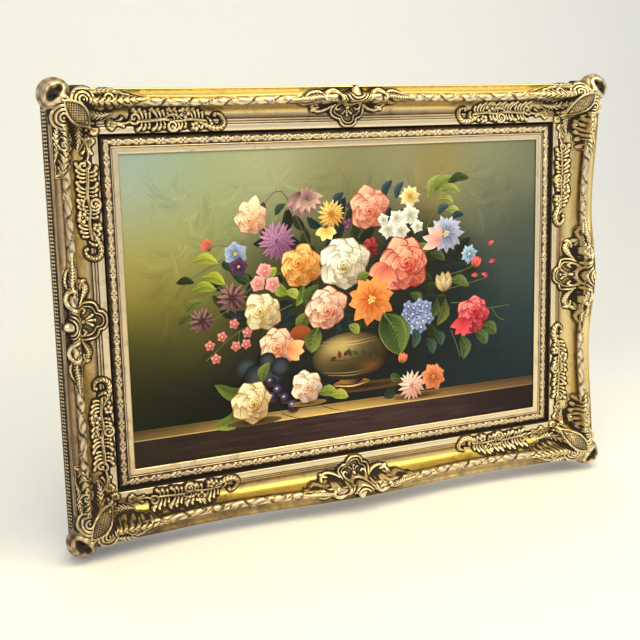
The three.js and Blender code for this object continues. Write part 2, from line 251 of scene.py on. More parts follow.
def front_section(rail, g):
    """Section points from the rebate lip to the outer edge: offset, forward, darkness, tone, ribbon;
    the darkness is dark toning in the quirks with painted shade at the steps and under the crest.
    """
    g = np.asarray(g, float)
    ridge = rail["ridge"] + rail["swing"] * g
    top = mix(rail["ridge_low"], RIDGE_HIGH, g)
    edge_top = mix(rail["edge_low"], EDGE_HIGH, g)
    flat = np.zeros_like(g)
    points = [(flat + s, flat + f, dark, 0.0, None) for s, f, dark in FILLETS]
    wide = ridge - 6 - COVE_IN
    high = top - 11 - COVE_FOOT
    for degrees in (12, 24, 36, 47, 58, 68, 77, 84):
        a = math.radians(degrees)
        # Towards the top of the cove, under the overhanging crest, the leaf is darkened: painted shade.
        dark = 0.0 if degrees < 70 else 0.5 * (degrees - 66) / 20
        s, f = COVE_IN + wide * math.sin(a), COVE_FOOT + high * (1 - math.cos(a))
        points.append((s, f, dark, 1.0, None))
    for v in np.linspace(-1, 1, 11):
        a = v * RIBBON_TURN
        s = ridge + 0.9 + 7.2 * math.sin(a)
        f = top - 8.6 * (1 - math.cos(a))
        # The ribbon darkens where it wraps under at its edges: dark toning in the seam together with
        # painted shade.
        points.append((s, f, 0.55 * abs(v) ** 6, 0.1, v))
    start = ridge + 8.1
    for k in (0.18, 0.36, 0.54, 0.72, 0.88):
        s = mix(start, rail["edge"], k)
        f = mix(top - 9.4, edge_top, k) - 15 * k * (1 - k)
        points.append((s, f, 0.0, 1.0, None))
    for out, drop, dark, tone in ((-0.6, 0.2, 0.0, 0.4), (0.5, 0.6, 0.0, 0.4), (1.2, 2.4, 0.1, 0.6)):
        points.append((flat + rail["edge"] + out, edge_top - drop, dark, tone, None))
    return points


def front_height(rail, along, s):
    """How far forward the plain moulding stands at places on the plan."""
    points = front_section(rail, rise(rail, along))
    out = np.where(s < points[0][0], points[0][1], 0.0)
    for (s0, f0, *_), (s1, f1, *_) in zip(points, points[1:]):
        width = np.maximum(s1 - s0, 1e-3)
        inside = (s >= s0) & (s < s1)
        out = np.where(inside, mix(f0, f1, (s - s0) / width), out)
    last, high = points[-1][0], points[-1][1]
    past = np.maximum(s - last, 0)
    return np.where(s >= last, high - 0.5 * past - 0.10 * past**2, out)


# ---------------------------------------------------------------- making meshes


def to_space(side, along, s, forward):
    """Places on one side of the frame, in metres, as an array of points."""
    along, s, forward = np.broadcast_arrays(along, s, forward)
    if side == "top":
        x, z = along, HALF_H + s
    elif side == "bottom":
        x, z = -along, -HALF_H - s
    elif side == "left":
        x, z = -HALF_W - s, along
    else:
        x, z = HALF_W + s, -along
    return np.stack([x, -forward, z + PICTURE_Z], axis=-1) / 1000


def quads_of(index):
    """The four corners of every cell in a grid of point numbers."""
    return np.stack([index[:-1, :-1], index[:-1, 1:], index[1:, 1:], index[1:, :-1]], axis=-1)


def grid_faces(rows, columns, closed=False):
    """Quads of a grid; closed joins the last row to the first."""
    index = np.arange(rows * columns).reshape(rows, columns)
    if closed:
        index = np.vstack([index, index[:1]])
    return quads_of(index).reshape(-1, 4)


def left_darkening(points):
    """Extra darkening towards the left side and its lower corner."""
    return 0.17 * ease(0.1, -0.52, points[:, 0]) * (0.45 + 0.55 * ease(-0.15, -0.75, points[:, 2]))


def make_mesh(name, points, faces, materials, marks=None, which=None, sharp=38):
    """A shaded mesh object that rides on the frame; marks are named numbers kept on its points."""
    mesh = bpy.data.meshes.new(name)
    mesh.from_pydata(points.reshape(-1, 3).tolist(), [], [list(map(int, f)) for f in faces])
    for label, values in (marks or {}).items():
        if label == "patina_and_shade":
            values = np.clip(values + left_darkening(points.reshape(-1, 3)), 0, 1)
        values = np.asarray(values, np.float32)
        if values.ndim == 2:
            layer = mesh.attributes.new(label, "FLOAT_COLOR", "POINT")
            layer.data.foreach_set("color", values.ravel())
        else:
            layer = mesh.attributes.new(label, "FLOAT", "POINT")
            layer.data.foreach_set("value", values.ravel())
    for material in materials:
        mesh.materials.append(material)
    if which is not None:
        mesh.polygons.foreach_set("material_index", np.asarray(which, np.int32))
    mesh.polygons.foreach_set("use_smooth", np.ones(len(mesh.polygons), bool))
    if sharp:
        mesh.set_sharp_from_angle(angle=math.radians(sharp))
    mesh.validate()
    mesh.update()
    made = bpy.data.objects.new(name, mesh)
    bpy.context.scene.collection.objects.link(made)
    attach(made, "root")
    return made


def facing_out(points, faces):
    """Turns every face of a closed mesh over if its volume is negative."""
    p = points.reshape(-1, 3)
    volume = 0.0
    for k in range(1, faces.shape[1] - 1):
        a, b, c = p[faces[:, 0]], p[faces[:, k]], p[faces[:, k + 1]]
        volume += float((a * np.cross(b, c)).sum())
    return faces if volume > 0 else faces[:, ::-1]


# ---------------------------------------------------------------- relief strokes

# How far out a stroke keeps its rounded back, and how steeply its side falls from there.
FULL = 0.97
SKIRT = 2.2


def swollen(r):
    """The height of a rounded stroke across its width, full at 0 and low at 1."""
    return np.sqrt(np.clip(1 - np.minimum(r, FULL) ** 2, 0, 1))


def walk(root, degrees, size, bend, turn_first):
    """Four points along a stroke that bends as it goes."""
    a = math.radians(degrees)
    line = [root]
    for k in range(3):
        a += math.radians(bend) / 3 if turn_first else 0
        line.append((line[-1][0] + size / 3 * math.cos(a), line[-1][1] + size / 3 * math.sin(a)))
        a += 0 if turn_first else math.radians(bend) / 3
    return line


class Relief:
    """Heights over a patch of the frame's plan, raised stroke by stroke like modelled putty."""

    def __init__(self, across, up, bed):
        self.across, self.up, self.bed = across, up, bed
        self.floor = bed - 3.0
        self.high = self.floor.copy()

    def lift(self, where, height, outside, fall=SKIRT):
        """Raises the places to a height; outside is how far they lie past the stroke's edge."""
        height = height - fall * np.maximum(outside, 0)
        self.high[where] = np.maximum(self.high[where], self.bed[where] + height)

    def near(self, centre, reach):
        """The places within reach of a point, and how far off they are."""
        d = np.hypot(self.across - centre[0], self.up - centre[1])
        where = np.nonzero(d < reach)
        return where, d[where]

    def band(self, points, widths, heights, ribs=0, lean=0.0, cut=0.35, vein=0.0, lobes=0, lobe=0.3):
        """A rounded strap or leaf along a curve, with slanting ribs and lobed edges if asked."""
        line = curve(points, max(14, 7 * len(points)))
        count = len(line)
        t_line = np.linspace(0, 1, count)
        wide = np.interp(t_line, np.linspace(0, 1, len(widths)), widths)
        reach = wide.max() * 1.25 + 2.5
        (x0, y0), (x1, y1) = line.min(0) - reach, line.max(0) + reach
        inside = (self.across > x0) & (self.across < x1) & (self.up > y0) & (self.up < y1)
        where = np.nonzero(inside)
        if not len(where[0]):
            return
        px, py = self.across[where], self.up[where]
        best = np.full(px.shape, 1e9)
        place = np.zeros(px.shape)
        for k in range(count - 1):
            a, b = line[k], line[k + 1]
            d = b - a
            size = max(float(d @ d), 1e-9)
            f = np.clip(((px - a[0]) * d[0] + (py - a[1]) * d[1]) / size, 0, 1)
            gap = np.hypot(px - a[0] - f * d[0], py - a[1] - f * d[1])
            nearer = gap < best
            best = np.where(nearer, gap, best)
            place = np.where(nearer, (k + f) / (count - 1), place)
        half = np.interp(place, t_line, wide)
        if lobes:
            saw = (place * lobes) % 1.0
            half = half * (1 - lobe * (1 - np.sin(np.pi * saw) ** 0.7))
        r = best / np.maximum(half, 0.25)
        body = np.interp(place, np.linspace(0, 1, len(heights)), heights) * swollen(r)
        if ribs:
            wave = 0.5 - 0.5 * np.cos(2 * np.pi * (place * ribs - lean * r))
            body = body * (1 - cut * (1 - wave**0.6) * np.clip(r * 3, 0, 1))
        if vein:
            body = body - vein * np.exp(-((r / 0.16) ** 2))
        self.lift(where, body, best - half * FULL)

    def ring(self, centre, radius, width, height):
        """A rounded hoop."""
        where, d = self.near(centre, radius + width * 3)
        off = np.abs(d - radius)
        self.lift(where, height * swollen(off / width), off - width * FULL)

    def pearl(self, centre, radius, height):
        """A round bead."""
        where, off = self.near(centre, radius * 2.2)
        self.lift(where, height * swollen(off / radius), off - radius * FULL, 2.4)

    def rosette(self, centre, radius, petals, height, spin=0.0):
        """A small open flower with a ringed heart."""
        where, off = self.near(centre, radius * 1.5)
        dx, dy = self.across[where] - centre[0], self.up[where] - centre[1]
        lobe = np.abs(np.cos(np.arctan2(dy, dx) * petals / 2 + spin))
        edge = radius * (0.70 + 0.30 * lobe**0.6)
        r = off / edge
        cup = 0.55 + 0.6 * np.sin(np.pi * np.clip((r - 0.3) / 0.7, 0, 1))
        side = np.sqrt(np.clip(1 - np.minimum(r, FULL) ** 4, 0, 1))
        body = height * cup * (1 - 0.4 * (1 - lobe) ** 2) * side
        self.lift(where, body, off - edge * FULL)
        self.ring(centre, radius * 0.36, radius * 0.10, height * 0.95)
        self.pearl(centre, radius * 0.18, height * 0.95)

    def comma(self, root, degrees, size, bend, width, height):
        """One curled leaflet: thin at the root, with a bead-like tip."""
        line = walk(root, degrees, size, bend, True)
        widths = [width * 0.5, width * 0.75, width, width * 1.15]
        self.band(line, widths, [height * 0.7, height * 0.8, height], vein=0.5)
        self.pearl(line[-1], width * 1.25, height * 1.15)

    def volute(self, centre, radius, degrees, turns, hand, width, height):
        """A scroll that winds in to a pearl."""
        count = int(10 * turns) + 2
        line = []
        for k in range(count):
            t = k / (count - 1)
            a = math.radians(degrees) + hand * 2 * math.pi * turns * t
            r = radius * (1 - 0.74 * t)
            line.append((centre[0] + r * math.cos(a), centre[1] + r * math.sin(a)))
        widths = [width * 0.8, width, width * 0.9, width * 0.6]
        self.band(line, widths, [height, height, height * 0.85], vein=0.9)
        self.pearl(centre, radius * 0.24, height * 0.95)

    def mound(self, centre, radii, turn):
        """How far every place is from the middle of an oval, along and across it; 1 at its edge."""
        c, s = math.cos(math.radians(turn)), math.sin(math.radians(turn))
        dx, dy = self.across - centre[0], self.up - centre[1]
        return (dx * c + dy * s) / radii[0], (dy * c - dx * s) / radii[1]

    def swell(self, centre, radii, turn, height, power):
        """A broad low mound that lifts what is modelled on it."""
        r = np.hypot(*self.mound(centre, radii, turn))
        self.high = np.maximum(self.high, self.bed + height * (1 - r**power) - 0.6)

    def settle(self, centre, radii, turn, height):
        """Raises the bed itself, so that later strokes ride on the mound."""
        u, v = self.mound(centre, radii, turn)
        self.bed = self.bed + height * np.exp(-1.2 * (u * u + v * v))


def cast_ground(relief, pitch, grow, depth, inside):
    """Fills between near strokes with a thin ground, as a casting has between its leaves."""
    share = 0.22
    covered = (relief.high > relief.floor + 2.0).astype(float)
    near = blurred(covered, grow / pitch) * inside
    missing = np.clip(share - near, 0, 1) / share
    relief.high = np.maximum(relief.high, relief.floor + 3.0 + depth - 7.0 * missing)


def patch_marks(high, pitch, full):
    """Patina in the hollows and rub on the crests, from how the heights stand to those around."""
    near = blurred(high, 1.5 / pitch)
    wide = blurred(high, 4.5 / pitch)
    hollow = np.clip((near - high) * 0.9 + (wide - high) * 0.42, 0, 1.4)
    crest = np.clip((high - near) * 0.9 + (high - wide) * 0.26, 0, 1)
    shade = np.clip((blurred(full, 2.5 / pitch) - full) * 0.12, 0, 0.5)
    return np.clip(hollow + shade, 0, 1), np.clip(crest, 0, 1)


def patch_object(name, aged, relief, plain, place, material, overhang=None, lower=None, more=None):
    """Turns a patch of heights into a casting that stands on the moulding.

    Where overhang is set the patch gets an underside at the lower heights, and more is a second
    shell of points, faces and marks that is joined to it.
    """
    rows, columns = relief.bed.shape
    high = np.minimum(relief.high, FRONT_LIMIT)
    over = high - plain
    raised = np.minimum(over + 0.9, high - relief.floor - 0.6)
    keep = np.maximum.reduce([raised[:-1, :-1], raised[1:, :-1], raised[:-1, 1:], raised[1:, 1:]]) > 0
    pitch = abs(relief.across[1, 0] - relief.across[0, 0])
    patina_and_shade, rub_and_highlight = patch_marks(np.maximum(high - relief.bed, -0.6), pitch, np.maximum(high, plain))
    patina_and_shade = np.clip(patina_and_shade * 1.1 + aged - 0.12 * rub_and_highlight, 0, 1)
    bedded = np.maximum(np.maximum(high, plain - SUNK), 0.8)
    front = place(relief.across, relief.up, bedded)
    index = np.arange(rows * columns).reshape(rows, columns)
    quads = quads_of(index)[keep]
    points, marks = [front.reshape(-1, 3)], [patina_and_shade.ravel(), rub_and_highlight.ravel()]
    faces = [quads]
    if overhang is not None:
        hang = keep & overhang[:-1, :-1]
        under = place(relief.across, relief.up, np.maximum(np.minimum(lower, high - 0.5), 0.3))
        faces.append(quads_of(index)[hang][:, [0, 3, 2, 1]] + rows * columns)
        points.append(under.reshape(-1, 3))
        marks = [np.append(m, np.full(rows * columns, value)) for m, value in zip(marks, (0.15, 0.0))]
        faces.append(rim_faces(index, hang, rows * columns))
    points = np.vstack(points)
    faces = np.vstack(faces)
    used = np.unique(faces)
    lookup = np.full(len(points), -1)
    lookup[used] = np.arange(len(used))
    faces = lookup[faces]
    points = points[used]
    marks = {"patina_and_shade": marks[0][used], "rub_and_highlight": marks[1][used], "tone": np.full(len(used), 0.5)}
    faces = facing_front(points, faces, len(quads))
    if more is not None:
        faces = faces.tolist() + [[k + len(points) for k in f] for f in more[1]]
        points = np.vstack([points, more[0]])
        marks = {key: np.concatenate([marks[key], more[2][key]]) for key in marks}
    made = make_mesh(name, points, faces, [material], marks, sharp=0)
    return made


def rim_faces(index, kept, shift):
    """Walls round the edge of the kept cells, from the front sheet to the sheet behind it."""
    padded = np.pad(kept, 1)
    walls = []
    for (dr, dc), (p, q) in {
        (-1, 0): ((0, 0), (0, 1)), (1, 0): ((1, 1), (1, 0)),
        (0, -1): ((1, 0), (0, 0)), (0, 1): ((0, 1), (1, 1)),
    }.items():
        beside = padded[1 + dr : padded.shape[0] - 1 + dr, 1 + dc : padded.shape[1] - 1 + dc]
        r, c = np.nonzero(kept & ~beside)
        a = index[r + p[0], c + p[1]]
        b = index[r + q[0], c + q[1]]
        walls.append(np.stack([b, a, a + shift, b + shift], -1))
    return np.vstack(walls)


def facing_front(points, faces, fronts):
    """Turns all faces over if the front ones look at the wall."""
    a, b, c = (points[faces[:fronts, k]] for k in range(3))
    forward = np.cross(b - a, c - a)[:, 1].sum()
    return faces if forward < 0 else faces[:, ::-1]


# ---------------------------------------------------------------- ornament designs


def run_design(r):
    """A leaf run: bud at the mitre, ringed stem, two rows of leaflets, two rosettes and a hook."""
    r.settle((95, 58), (92, 22), 0, 3.0)
    for k, a in enumerate((150, 178, 206, 232)):
        r.comma((-3, 57 - k), a, 15 - 2 * abs(k - 1.5), 26 - 14 * k, 3.6, 5.0)
    r.comma((-2, 52), 20, 12, -40, 2.8, 4.0)
    r.comma((-2, 60), -10, 12, 50, 2.8, 4.0)
    r.band([(0, 56), (10, 55), (20, 57), (24, 61)], [2.8, 2.4, 2.4, 2.6], [4.6, 4.2, 4.4])
    r.band(
        [(36, 58), (60, 59), (84, 61), (108, 57), (132, 60), (160, 57)],
        [3.6, 3.4, 3.0, 3.2], [6.0, 5.6, 6.0], vein=0.9,
    )
    for p in (40, 73, 104, 138):
        for k in range(4):
            root = (p + 5.6 * k, 61 - 0.6 * k)
            r.comma(root, 84 - 15 * k, 22 - 3 * k, 66, 3.5 - 0.25 * k, 6.4 - 0.4 * k)
    for p in (43, 71, 110, 150):
        for k in range(3):
            root = (p + 6.2 * k, 56 + 0.5 * k)
            r.comma(root, -78 + 15 * k, 16 - 2.4 * k, -66, 3.3 - 0.2 * k, 5.8 - 0.4 * k)
    r.volute((31, 64), 11, 215, 1.15, 1, 3.2, 6.6)
    r.volute((99, 49), 11.5, 30, 1.5, -1, 3.2, 7.2)
    r.band(
        [(84, 60), (94, 68), (108, 68), (117, 60)],
        [1.8, 4.4, 4.4, 1.6], [6, 7, 5.4], ribs=6, lean=0.9,
    )
    r.rosette((123, 71), 12.5, 5, 7.6, 0.4)
    r.rosette((141, 47), 10.5, 5, 7.2, 0.0)
    r.band(
        [(146, 56), (162, 49), (176, 43), (190, 44), (197, 54), (192, 66), (181, 70)],
        [3.0, 5.0, 6.0, 5.4, 5.0, 4.2, 2.2], [5.6, 7.2, 8.2, 7.2, 6.2], ribs=12, lean=0.8, cut=0.45,
    )
    r.pearl((180, 66), 4.0, 7.4)
    r.comma((166, 62), -20, 13, -60, 3.2, 6.4)


def mirrored(r, make):
    """Makes the strokes on one half, then the same on the other."""
    make(r)
    r.across = -r.across
    make(r)
    r.across = -r.across


def cartouche_half(r):
    """The right half of a centre casting."""
    border = [(0, 39.5), (9, 41), (15.5, 47), (17.5, 54), (25, 56.5), (32, 62), (34, 71), (30, 80)]
    r.band(border, [2.3, 2.3, 2.2, 2.0], [6.4, 6.2, 6.8])
    inner = [(0, 45.5), (6, 47), (11, 52), (13, 59), (20, 62), (26, 67), (27, 74)]
    r.band(inner, [1.4, 1.4, 1.2], [5.0, 4.8, 5.2])
    r.band(
        [(6, 78), (13, 84), (22, 82), (25, 75), (20, 71), (15, 74)],
        [1.6, 2.6, 2.4, 1.5], [6, 7, 6], vein=0.8,
    )
    r.band(
        [(27, 86), (33, 100), (45, 107), (58, 104), (64, 95), (59, 86), (49, 85)],
        [3.4, 4.2, 4.4, 4.0, 3.4, 2.4], [9, 10, 9, 8], vein=1.0,
    )
    r.pearl((48, 87), 3.2, 7.0)
    for k in range(4):
        r.comma((36 + 7 * k, 101 + 0.6 * k), 60 - 16 * k, 11, -46, 2.3, 7.0)
    r.band(
        [(34, 78), (46, 72), (60, 69), (72, 71)],
        [2.2, 3.4, 3.4, 2.0], [6, 7, 5.4], ribs=8, lean=0.9,
    )
    for root, degrees, size, bend, width, height in (
        ((62, 72), -24, 14, 70, 3.2, 6.0), ((60, 76), 12, 15, -50, 3.0, 6.0),
        ((64, 80), 40, 13, -60, 2.6, 5.6),
    ):
        r.comma(root, degrees, size, bend, width, height)
    r.band(
        [(58, 92), (74, 96), (92, 93), (110, 92), (127, 90)],
        [3.2, 6.4, 6.8, 4.6, 1.2], [7.0, 7.4, 5.6, 3.0], ribs=13, lean=1.2, cut=0.45,
        lobes=5, lobe=0.28,
    )
    r.band(
        [(60, 100), (76, 105), (92, 103), (102, 98)],
        [2.0, 3.6, 3.2, 1.2], [6, 6.4, 3.6], ribs=8, lean=1.0,
    )
    r.band([(66, 85), (80, 84), (94, 82), (104, 84)], [1.8, 3.0, 2.4, 1.0], [5, 5, 3], ribs=7, lean=1.0)


def cartouche_design(r):
    """A centre casting: shield, nested arches, open scrolls and leafy tails."""
    r.settle((0, 78), (46, 30), 0, 4.0)
    r.settle((0, 100), (34, 13), 0, 3.0)
    width = np.interp(r.up, [40, 48, 55, 62, 72, 84, 96], [3, 14, 17, 30, 33, 30, 26])
    inside = (np.abs(r.across) < width) & (r.up > 40) & (r.up < 96)
    pebbles = np.sin(r.across * 1.9) * np.sin(r.up * 2.1 + 0.9 * np.sin(r.across * 0.8))
    r.high = np.where(inside, np.maximum(r.high, r.bed + 1.6 + 0.35 * pebbles), r.high)
    mirrored(r, cartouche_half)
    for radius, height, width in ((28, 7.0, 2.6), (21.5, 8.6, 2.6), (15, 10.0, 2.6)):
        angles = np.radians(np.linspace(196, 344, 12))
        line = [(radius * math.cos(a), 106 + radius * 0.92 * math.sin(a)) for a in angles]
        r.band(line, [width * 0.8, width, width * 0.8], [height, height, height])
    r.pearl((0, 105), 9.5, 11.5)
    r.pearl((0, 74.5), 4.2, 6.6)
    r.comma((0, 70), -90, 9, 0, 2.6, 5.2)
    for k in (-1, 1):
        r.comma((3 * k, 70), -90 + 34 * k, 9, 20 * k, 2.2, 4.6)


def corner_arm(r, flip):
    """The scroll and leaf sprays on one side of the diagonal; flip swaps the two sides."""
    def at(*points):
        return [(b, a) if flip else (a, b) for a, b in points]

    hand = -1 if flip else 1
    side = 4 if flip else 0
    tips = ((-34, 117), (-12, 119)) if flip else ((-48, 97), (-26, 101))
    spray = [(52, 96 + side), (34, 92 + side), (14, 93 + side)]
    spray += [(-6, 95 + 2 * side), (-26, 96 + 3 * side)]
    r.band(
        at(*spray, tips[0]),
        [8.0, 14, 13.5, 10.5, 7.0, 1.5], [8.0, 9.6, 8.6, 6.6, 3.0], ribs=9, lean=0.9 * hand, cut=0.55,
        lobes=9, lobe=0.32, vein=1.6,
    )
    r.band(
        at((50, 108 + side), (34, 110 + side), (12, 109 + side), tips[1]),
        [4.0, 6.4, 5.4, 1.2], [7.4, 7.4, 3.6], ribs=7, lean=1.0 * hand, cut=0.5,
        lobes=7, lobe=0.3, vein=1.2,
    )
    r.band(
        at((62, 78), (48, 71), (30, 69), (9, 73)),
        [4.6, 8.6, 7.4, 1.6], [7.4, 8.0, 3.8], ribs=8, lean=-1.0 * hand, cut=0.55,
        lobes=8, lobe=0.32, vein=1.4,
    )
    for k in range(4):
        turn = -128 + 6 * k
        turn = 90 - turn if flip else turn
        r.comma(at((40 - 17 * k, 86 + side + 2 * k))[0], turn, 12 - k, -44 * hand, 3.2, 7.6 - k)
    for radius, width, height in ((20.0, 3.8, 7.6), (13.2, 3.6, 9.6), (6.8, 3.0, 10.6)):
        turns = np.radians(np.linspace(-80, 205, 10))
        arc = [(67 + radius * math.cos(q), 97 + side + 0.96 * radius * math.sin(q)) for q in turns]
        heights = [height * 0.75, height, height, height * 0.8]
        r.band(at(*arc), [width * 0.6, width, width, width * 0.6], heights, vein=1.2)
    r.pearl(at((66, 97 + side))[0], 3.4, 10)
    r.band(
        at((104, 100), (97, 90), (86, 82), (73, 77)),
        [4.0, 6.0, 5.0, 2.0], [5.0, 8.0, 6.0], ribs=6, lean=hand, cut=0.5, lobes=6, lobe=0.25,
    )
    r.volute(at((20, 98 + side))[0], 9.5, 0, 1.2, hand, 3.0, 9.0)
    r.comma(at((60, 66))[0], (200 if not flip else -110), 14, 40 * hand, 3.4, 6.4)


# The corner casting's own axis runs out along this diagonal.
DIAGONAL = (0.72, 0.69)
PANEL_AT = (76, 73)
OPENING_AT = (114, 108)
BULB_AT = (112, 106)
BULB_RADIUS = 29.7
BULB_FORWARD = 65.4


def to_diagonal(r, centre):
    """Places measured along and across the diagonal from a point."""
    a, b = r.across - centre[0], r.up - centre[1]
    return a * DIAGONAL[0] + b * DIAGONAL[1], b * DIAGONAL[0] - a * DIAGONAL[1]


def from_diagonal(centre, along, off):
    return (
        centre[0] + along * DIAGONAL[0] - off * DIAGONAL[1],
        centre[1] + along * DIAGONAL[1] + off * DIAGONAL[0],
    )


def corner_design(r):
    """A corner casting: bulb, crossed panel, two scrolls with combs and two long leaf sprays."""
    r.settle((88, 86), (34, 32), 0, 5.0)
    r.swell((84, 82), (40, 36), 0, 4.5, 3.0)
    for flip in (False, True):
        corner_arm(r, flip)
    u, v = to_diagonal(r, PANEL_AT)
    lens = (np.abs(v) < 15 * (1 - (u / 31) ** 2)) & (np.abs(u) < 30)
    weave = np.abs(np.sin(0.78 * (u + v))) * np.abs(np.sin(0.78 * (u - v)))
    r.high = np.where(lens, r.bed + 4.0 + 1.6 * weave, r.high)
    for sign in (-1, 1):
        steps = [-1 + 0.2 * k for k in range(11)]
        line = [from_diagonal(PANEL_AT, 32 * t, sign * 16.5 * (1 - t * t)) for t in steps]
        r.band(line, [1.8, 2.4, 2.8, 2.4, 1.8], [7.0, 8.6, 8.6], vein=0.8)
    for k in range(5):
        r.comma((51 - k, 48 + k), 190 + 22 * k, 15 - abs(k - 2), 0, 3.0, 5.2)
    for a, b, size in ((51, 49, 4.2), (59, 57, 3.4), (44, 56, 3.0), (57, 44, 3.0)):
        r.pearl((a, b), size, 7.6)


def corner_bulb(place, aged):
    """The smooth bulb, with a lipped opening curled into its face: points, faces and marks."""
    polar = np.linspace(0.05, math.pi - 0.05, 44)[:, None]
    turn = np.linspace(0, 2 * math.pi, 80, endpoint=False)[None]
    da, db = np.sin(polar) * np.cos(turn), np.sin(polar) * np.sin(turn)
    out = np.cos(polar) + 0 * turn

    def at(reach):
        return BULB_AT[0] + reach * da, BULB_AT[1] + reach * db

    r = Relief(*at(BULB_RADIUS), np.zeros(out.shape))
    u, v = to_diagonal(r, OPENING_AT)
    cup = np.hypot(u / 14.5, v / 21.0)
    hollow = 10.5 * (1 - np.minimum(cup, 1) ** 2) ** 0.6 + 1.3 * np.exp(-(((cup - 1.24) / 0.05) ** 2))
    mottle = 0.5 * np.sin(r.across * 0.9 + 2 * np.sin(r.up * 0.5)) * np.sin(r.up * 0.8)
    r.high = -hollow + mottle * (cup < 1)
    for sign in (-1, 1):
        turns = np.radians(90 * (1 - sign) - 100 + 22 * np.arange(10))
        x, y = (14.6 + 1.2 * sign) * np.cos(turns), 21.6 * np.sin(turns)
        line = np.stack(from_diagonal(OPENING_AT, x, y), -1)
        r.band(line, [1.6, 3.8, 4.2, 1.8], [0.6, 1.1, 0.6], vein=0.5)
    r.bed = -hollow
    r.band(
        [(98, 102), (106, 106), (115, 109), (124, 103)],
        [3.0, 6.0, 5.4, 1.8], [5.0, 7.6, 4.0], vein=1.6,
    )
    r.band([(106, 122), (114, 119), (122, 112)], [1.6, 3.8, 1.6], [4.0, 6.4, 4.0], vein=0.8)
    r.band([(104, 93), (112, 95), (119, 92)], [1.6, 3.2, 1.4], [3.0, 5.4, 3.0])
    reach = BULB_RADIUS + r.high * ease(0.0, 0.35, out)
    points = place(*at(reach), BULB_FORWARD + reach * out).reshape(-1, 3)
    index = np.arange(out.size).reshape(out.shape)
    quads = quads_of(np.concatenate([index, index[:, :1]], 1)).reshape(-1, 4)
    faces = quads.tolist() + [index[0][::-1].tolist(), index[-1].tolist()]
    if facing_out(points, quads) is not quads:
        faces = [f[::-1] for f in faces]
    stain = 0.16 * np.sin(r.across * 0.35) * np.sin(r.up * 0.3)
    deep = np.clip(-r.high * 0.13 * (out > 0) + 0.05 + aged + stain, 0, 0.9)
    rub_and_highlight = np.clip(r.high * 0.9, 0, 1)
    return points, faces, {"patina_and_shade": deep.ravel(), "rub_and_highlight": rub_and_highlight.ravel(), "tone": np.full(out.size, 0.1)}


# ---------------------------------------------------------------- materials

COLOUR, NUMBER, VECTOR = "NodeSocketColor", "NodeSocketFloat", "NodeSocketVector"
# Bright leaf for worn crests, also used for the painted highlight on the flat fillets and the slip.
RUB_AND_HIGHLIGHT_GOLD = (0.98, 0.90, 0.70, 1.0)
GROUND_THREAD = 0.0011


class Shading:
    """Adds nodes to a tree, laid out in rows in the order they are made."""

    def __init__(self, tree):
        self.tree = tree
        self.count = 0

    def add(self, kind, inputs=None, **values):
        """A new node's outputs; inputs are numbers, colours or other outputs."""
        made = self.tree.nodes.new("ShaderNode" + kind)
        made.location = (-1500 + 190 * (self.count % 12), 900 - 260 * (self.count // 12))
        self.count += 1
        for key, value in values.items():
            setattr(made, key, value)
        for key, value in (inputs or {}).items():
            self.feed(made.inputs[key], value)
        return made.outputs

    def feed(self, socket, value):
        """Links a node's output to the socket, or sets it to a plain number or colour."""
        if isinstance(value, bpy.types.NodeSocket):
            self.tree.links.new(value, socket)
        else:
            socket.default_value = value

    def place(self):
        return self.add("TexCoord")["Object"]

    def mark(self, label, kind="Fac"):
        """A number or colour kept on the mesh."""
        return self.add("Attribute", attribute_name=label)[kind]

    def noise(self, scale, detail, rough=0.55, warp=0.0, vector=None):
        values = {"Scale": scale, "Detail": detail, "Roughness": rough, "Distortion": warp}
        values["Vector"] = self.place() if vector is None else vector
        return self.add("TexNoise", values)["Fac"]

    def remap(self, value, low, high, to_low=0.0, to_high=1.0):
        ends = {"From Min": low, "From Max": high, "To Min": to_low, "To Max": to_high}
        return self.add("MapRange", {"Value": value, **ends})["Result"]

    def maths(self, kind, a, b=0.0, clamp=False):
        return self.add("Math", {0: a, 1: b}, operation=kind, use_clamp=clamp)[0]

    def blend(self, factor, a, b):
        return self.add("Mix", {0: factor, 6: a, 7: b}, data_type="RGBA")[2]

    def scaled(self, colour, factor):
        return self.add("VectorMath", {0: colour, "Scale": factor}, operation="SCALE")[0]

    def use(self, name, values):
        """A node for one of the shared groups, which is built when it is first asked for."""
        tree = bpy.data.node_groups.get(name) or GROUPS[name]()
        return self.add("Group", values, node_tree=tree)

    def dress(self, shader, out, height, strength, depth):
        """Feeds the shader from a group's outputs, with a bump of so many metres."""
        for label in ("Color", "Roughness", "Metallic"):
            if label in out:
                self.feed(shader["Base Color" if label == "Color" else label], out[label])
        bump = self.add("Bump", {"Strength": strength, "Distance": depth, "Height": height})
        self.feed(shader["Normal"], bump[0])


def group(name, takes, gives):
    """A node group; an input is given by its starting number, or by its kind."""
    tree = bpy.data.node_groups.new(name, "ShaderNodeTree")
    for label, value in takes.items():
        kind = value if isinstance(value, str) else NUMBER
        socket = tree.interface.new_socket(label, in_out="INPUT", socket_type=kind)
        if kind == NUMBER:
            socket.default_value = value
    for label, kind in gives.items():
        tree.interface.new_socket(label, in_out="OUTPUT", socket_type=kind)
    start, end = tree.nodes.new("NodeGroupInput"), tree.nodes.new("NodeGroupOutput")
    start.location, end.location = (-1750, 300), (1000, 300)
    return Shading(tree), start.outputs, end.inputs


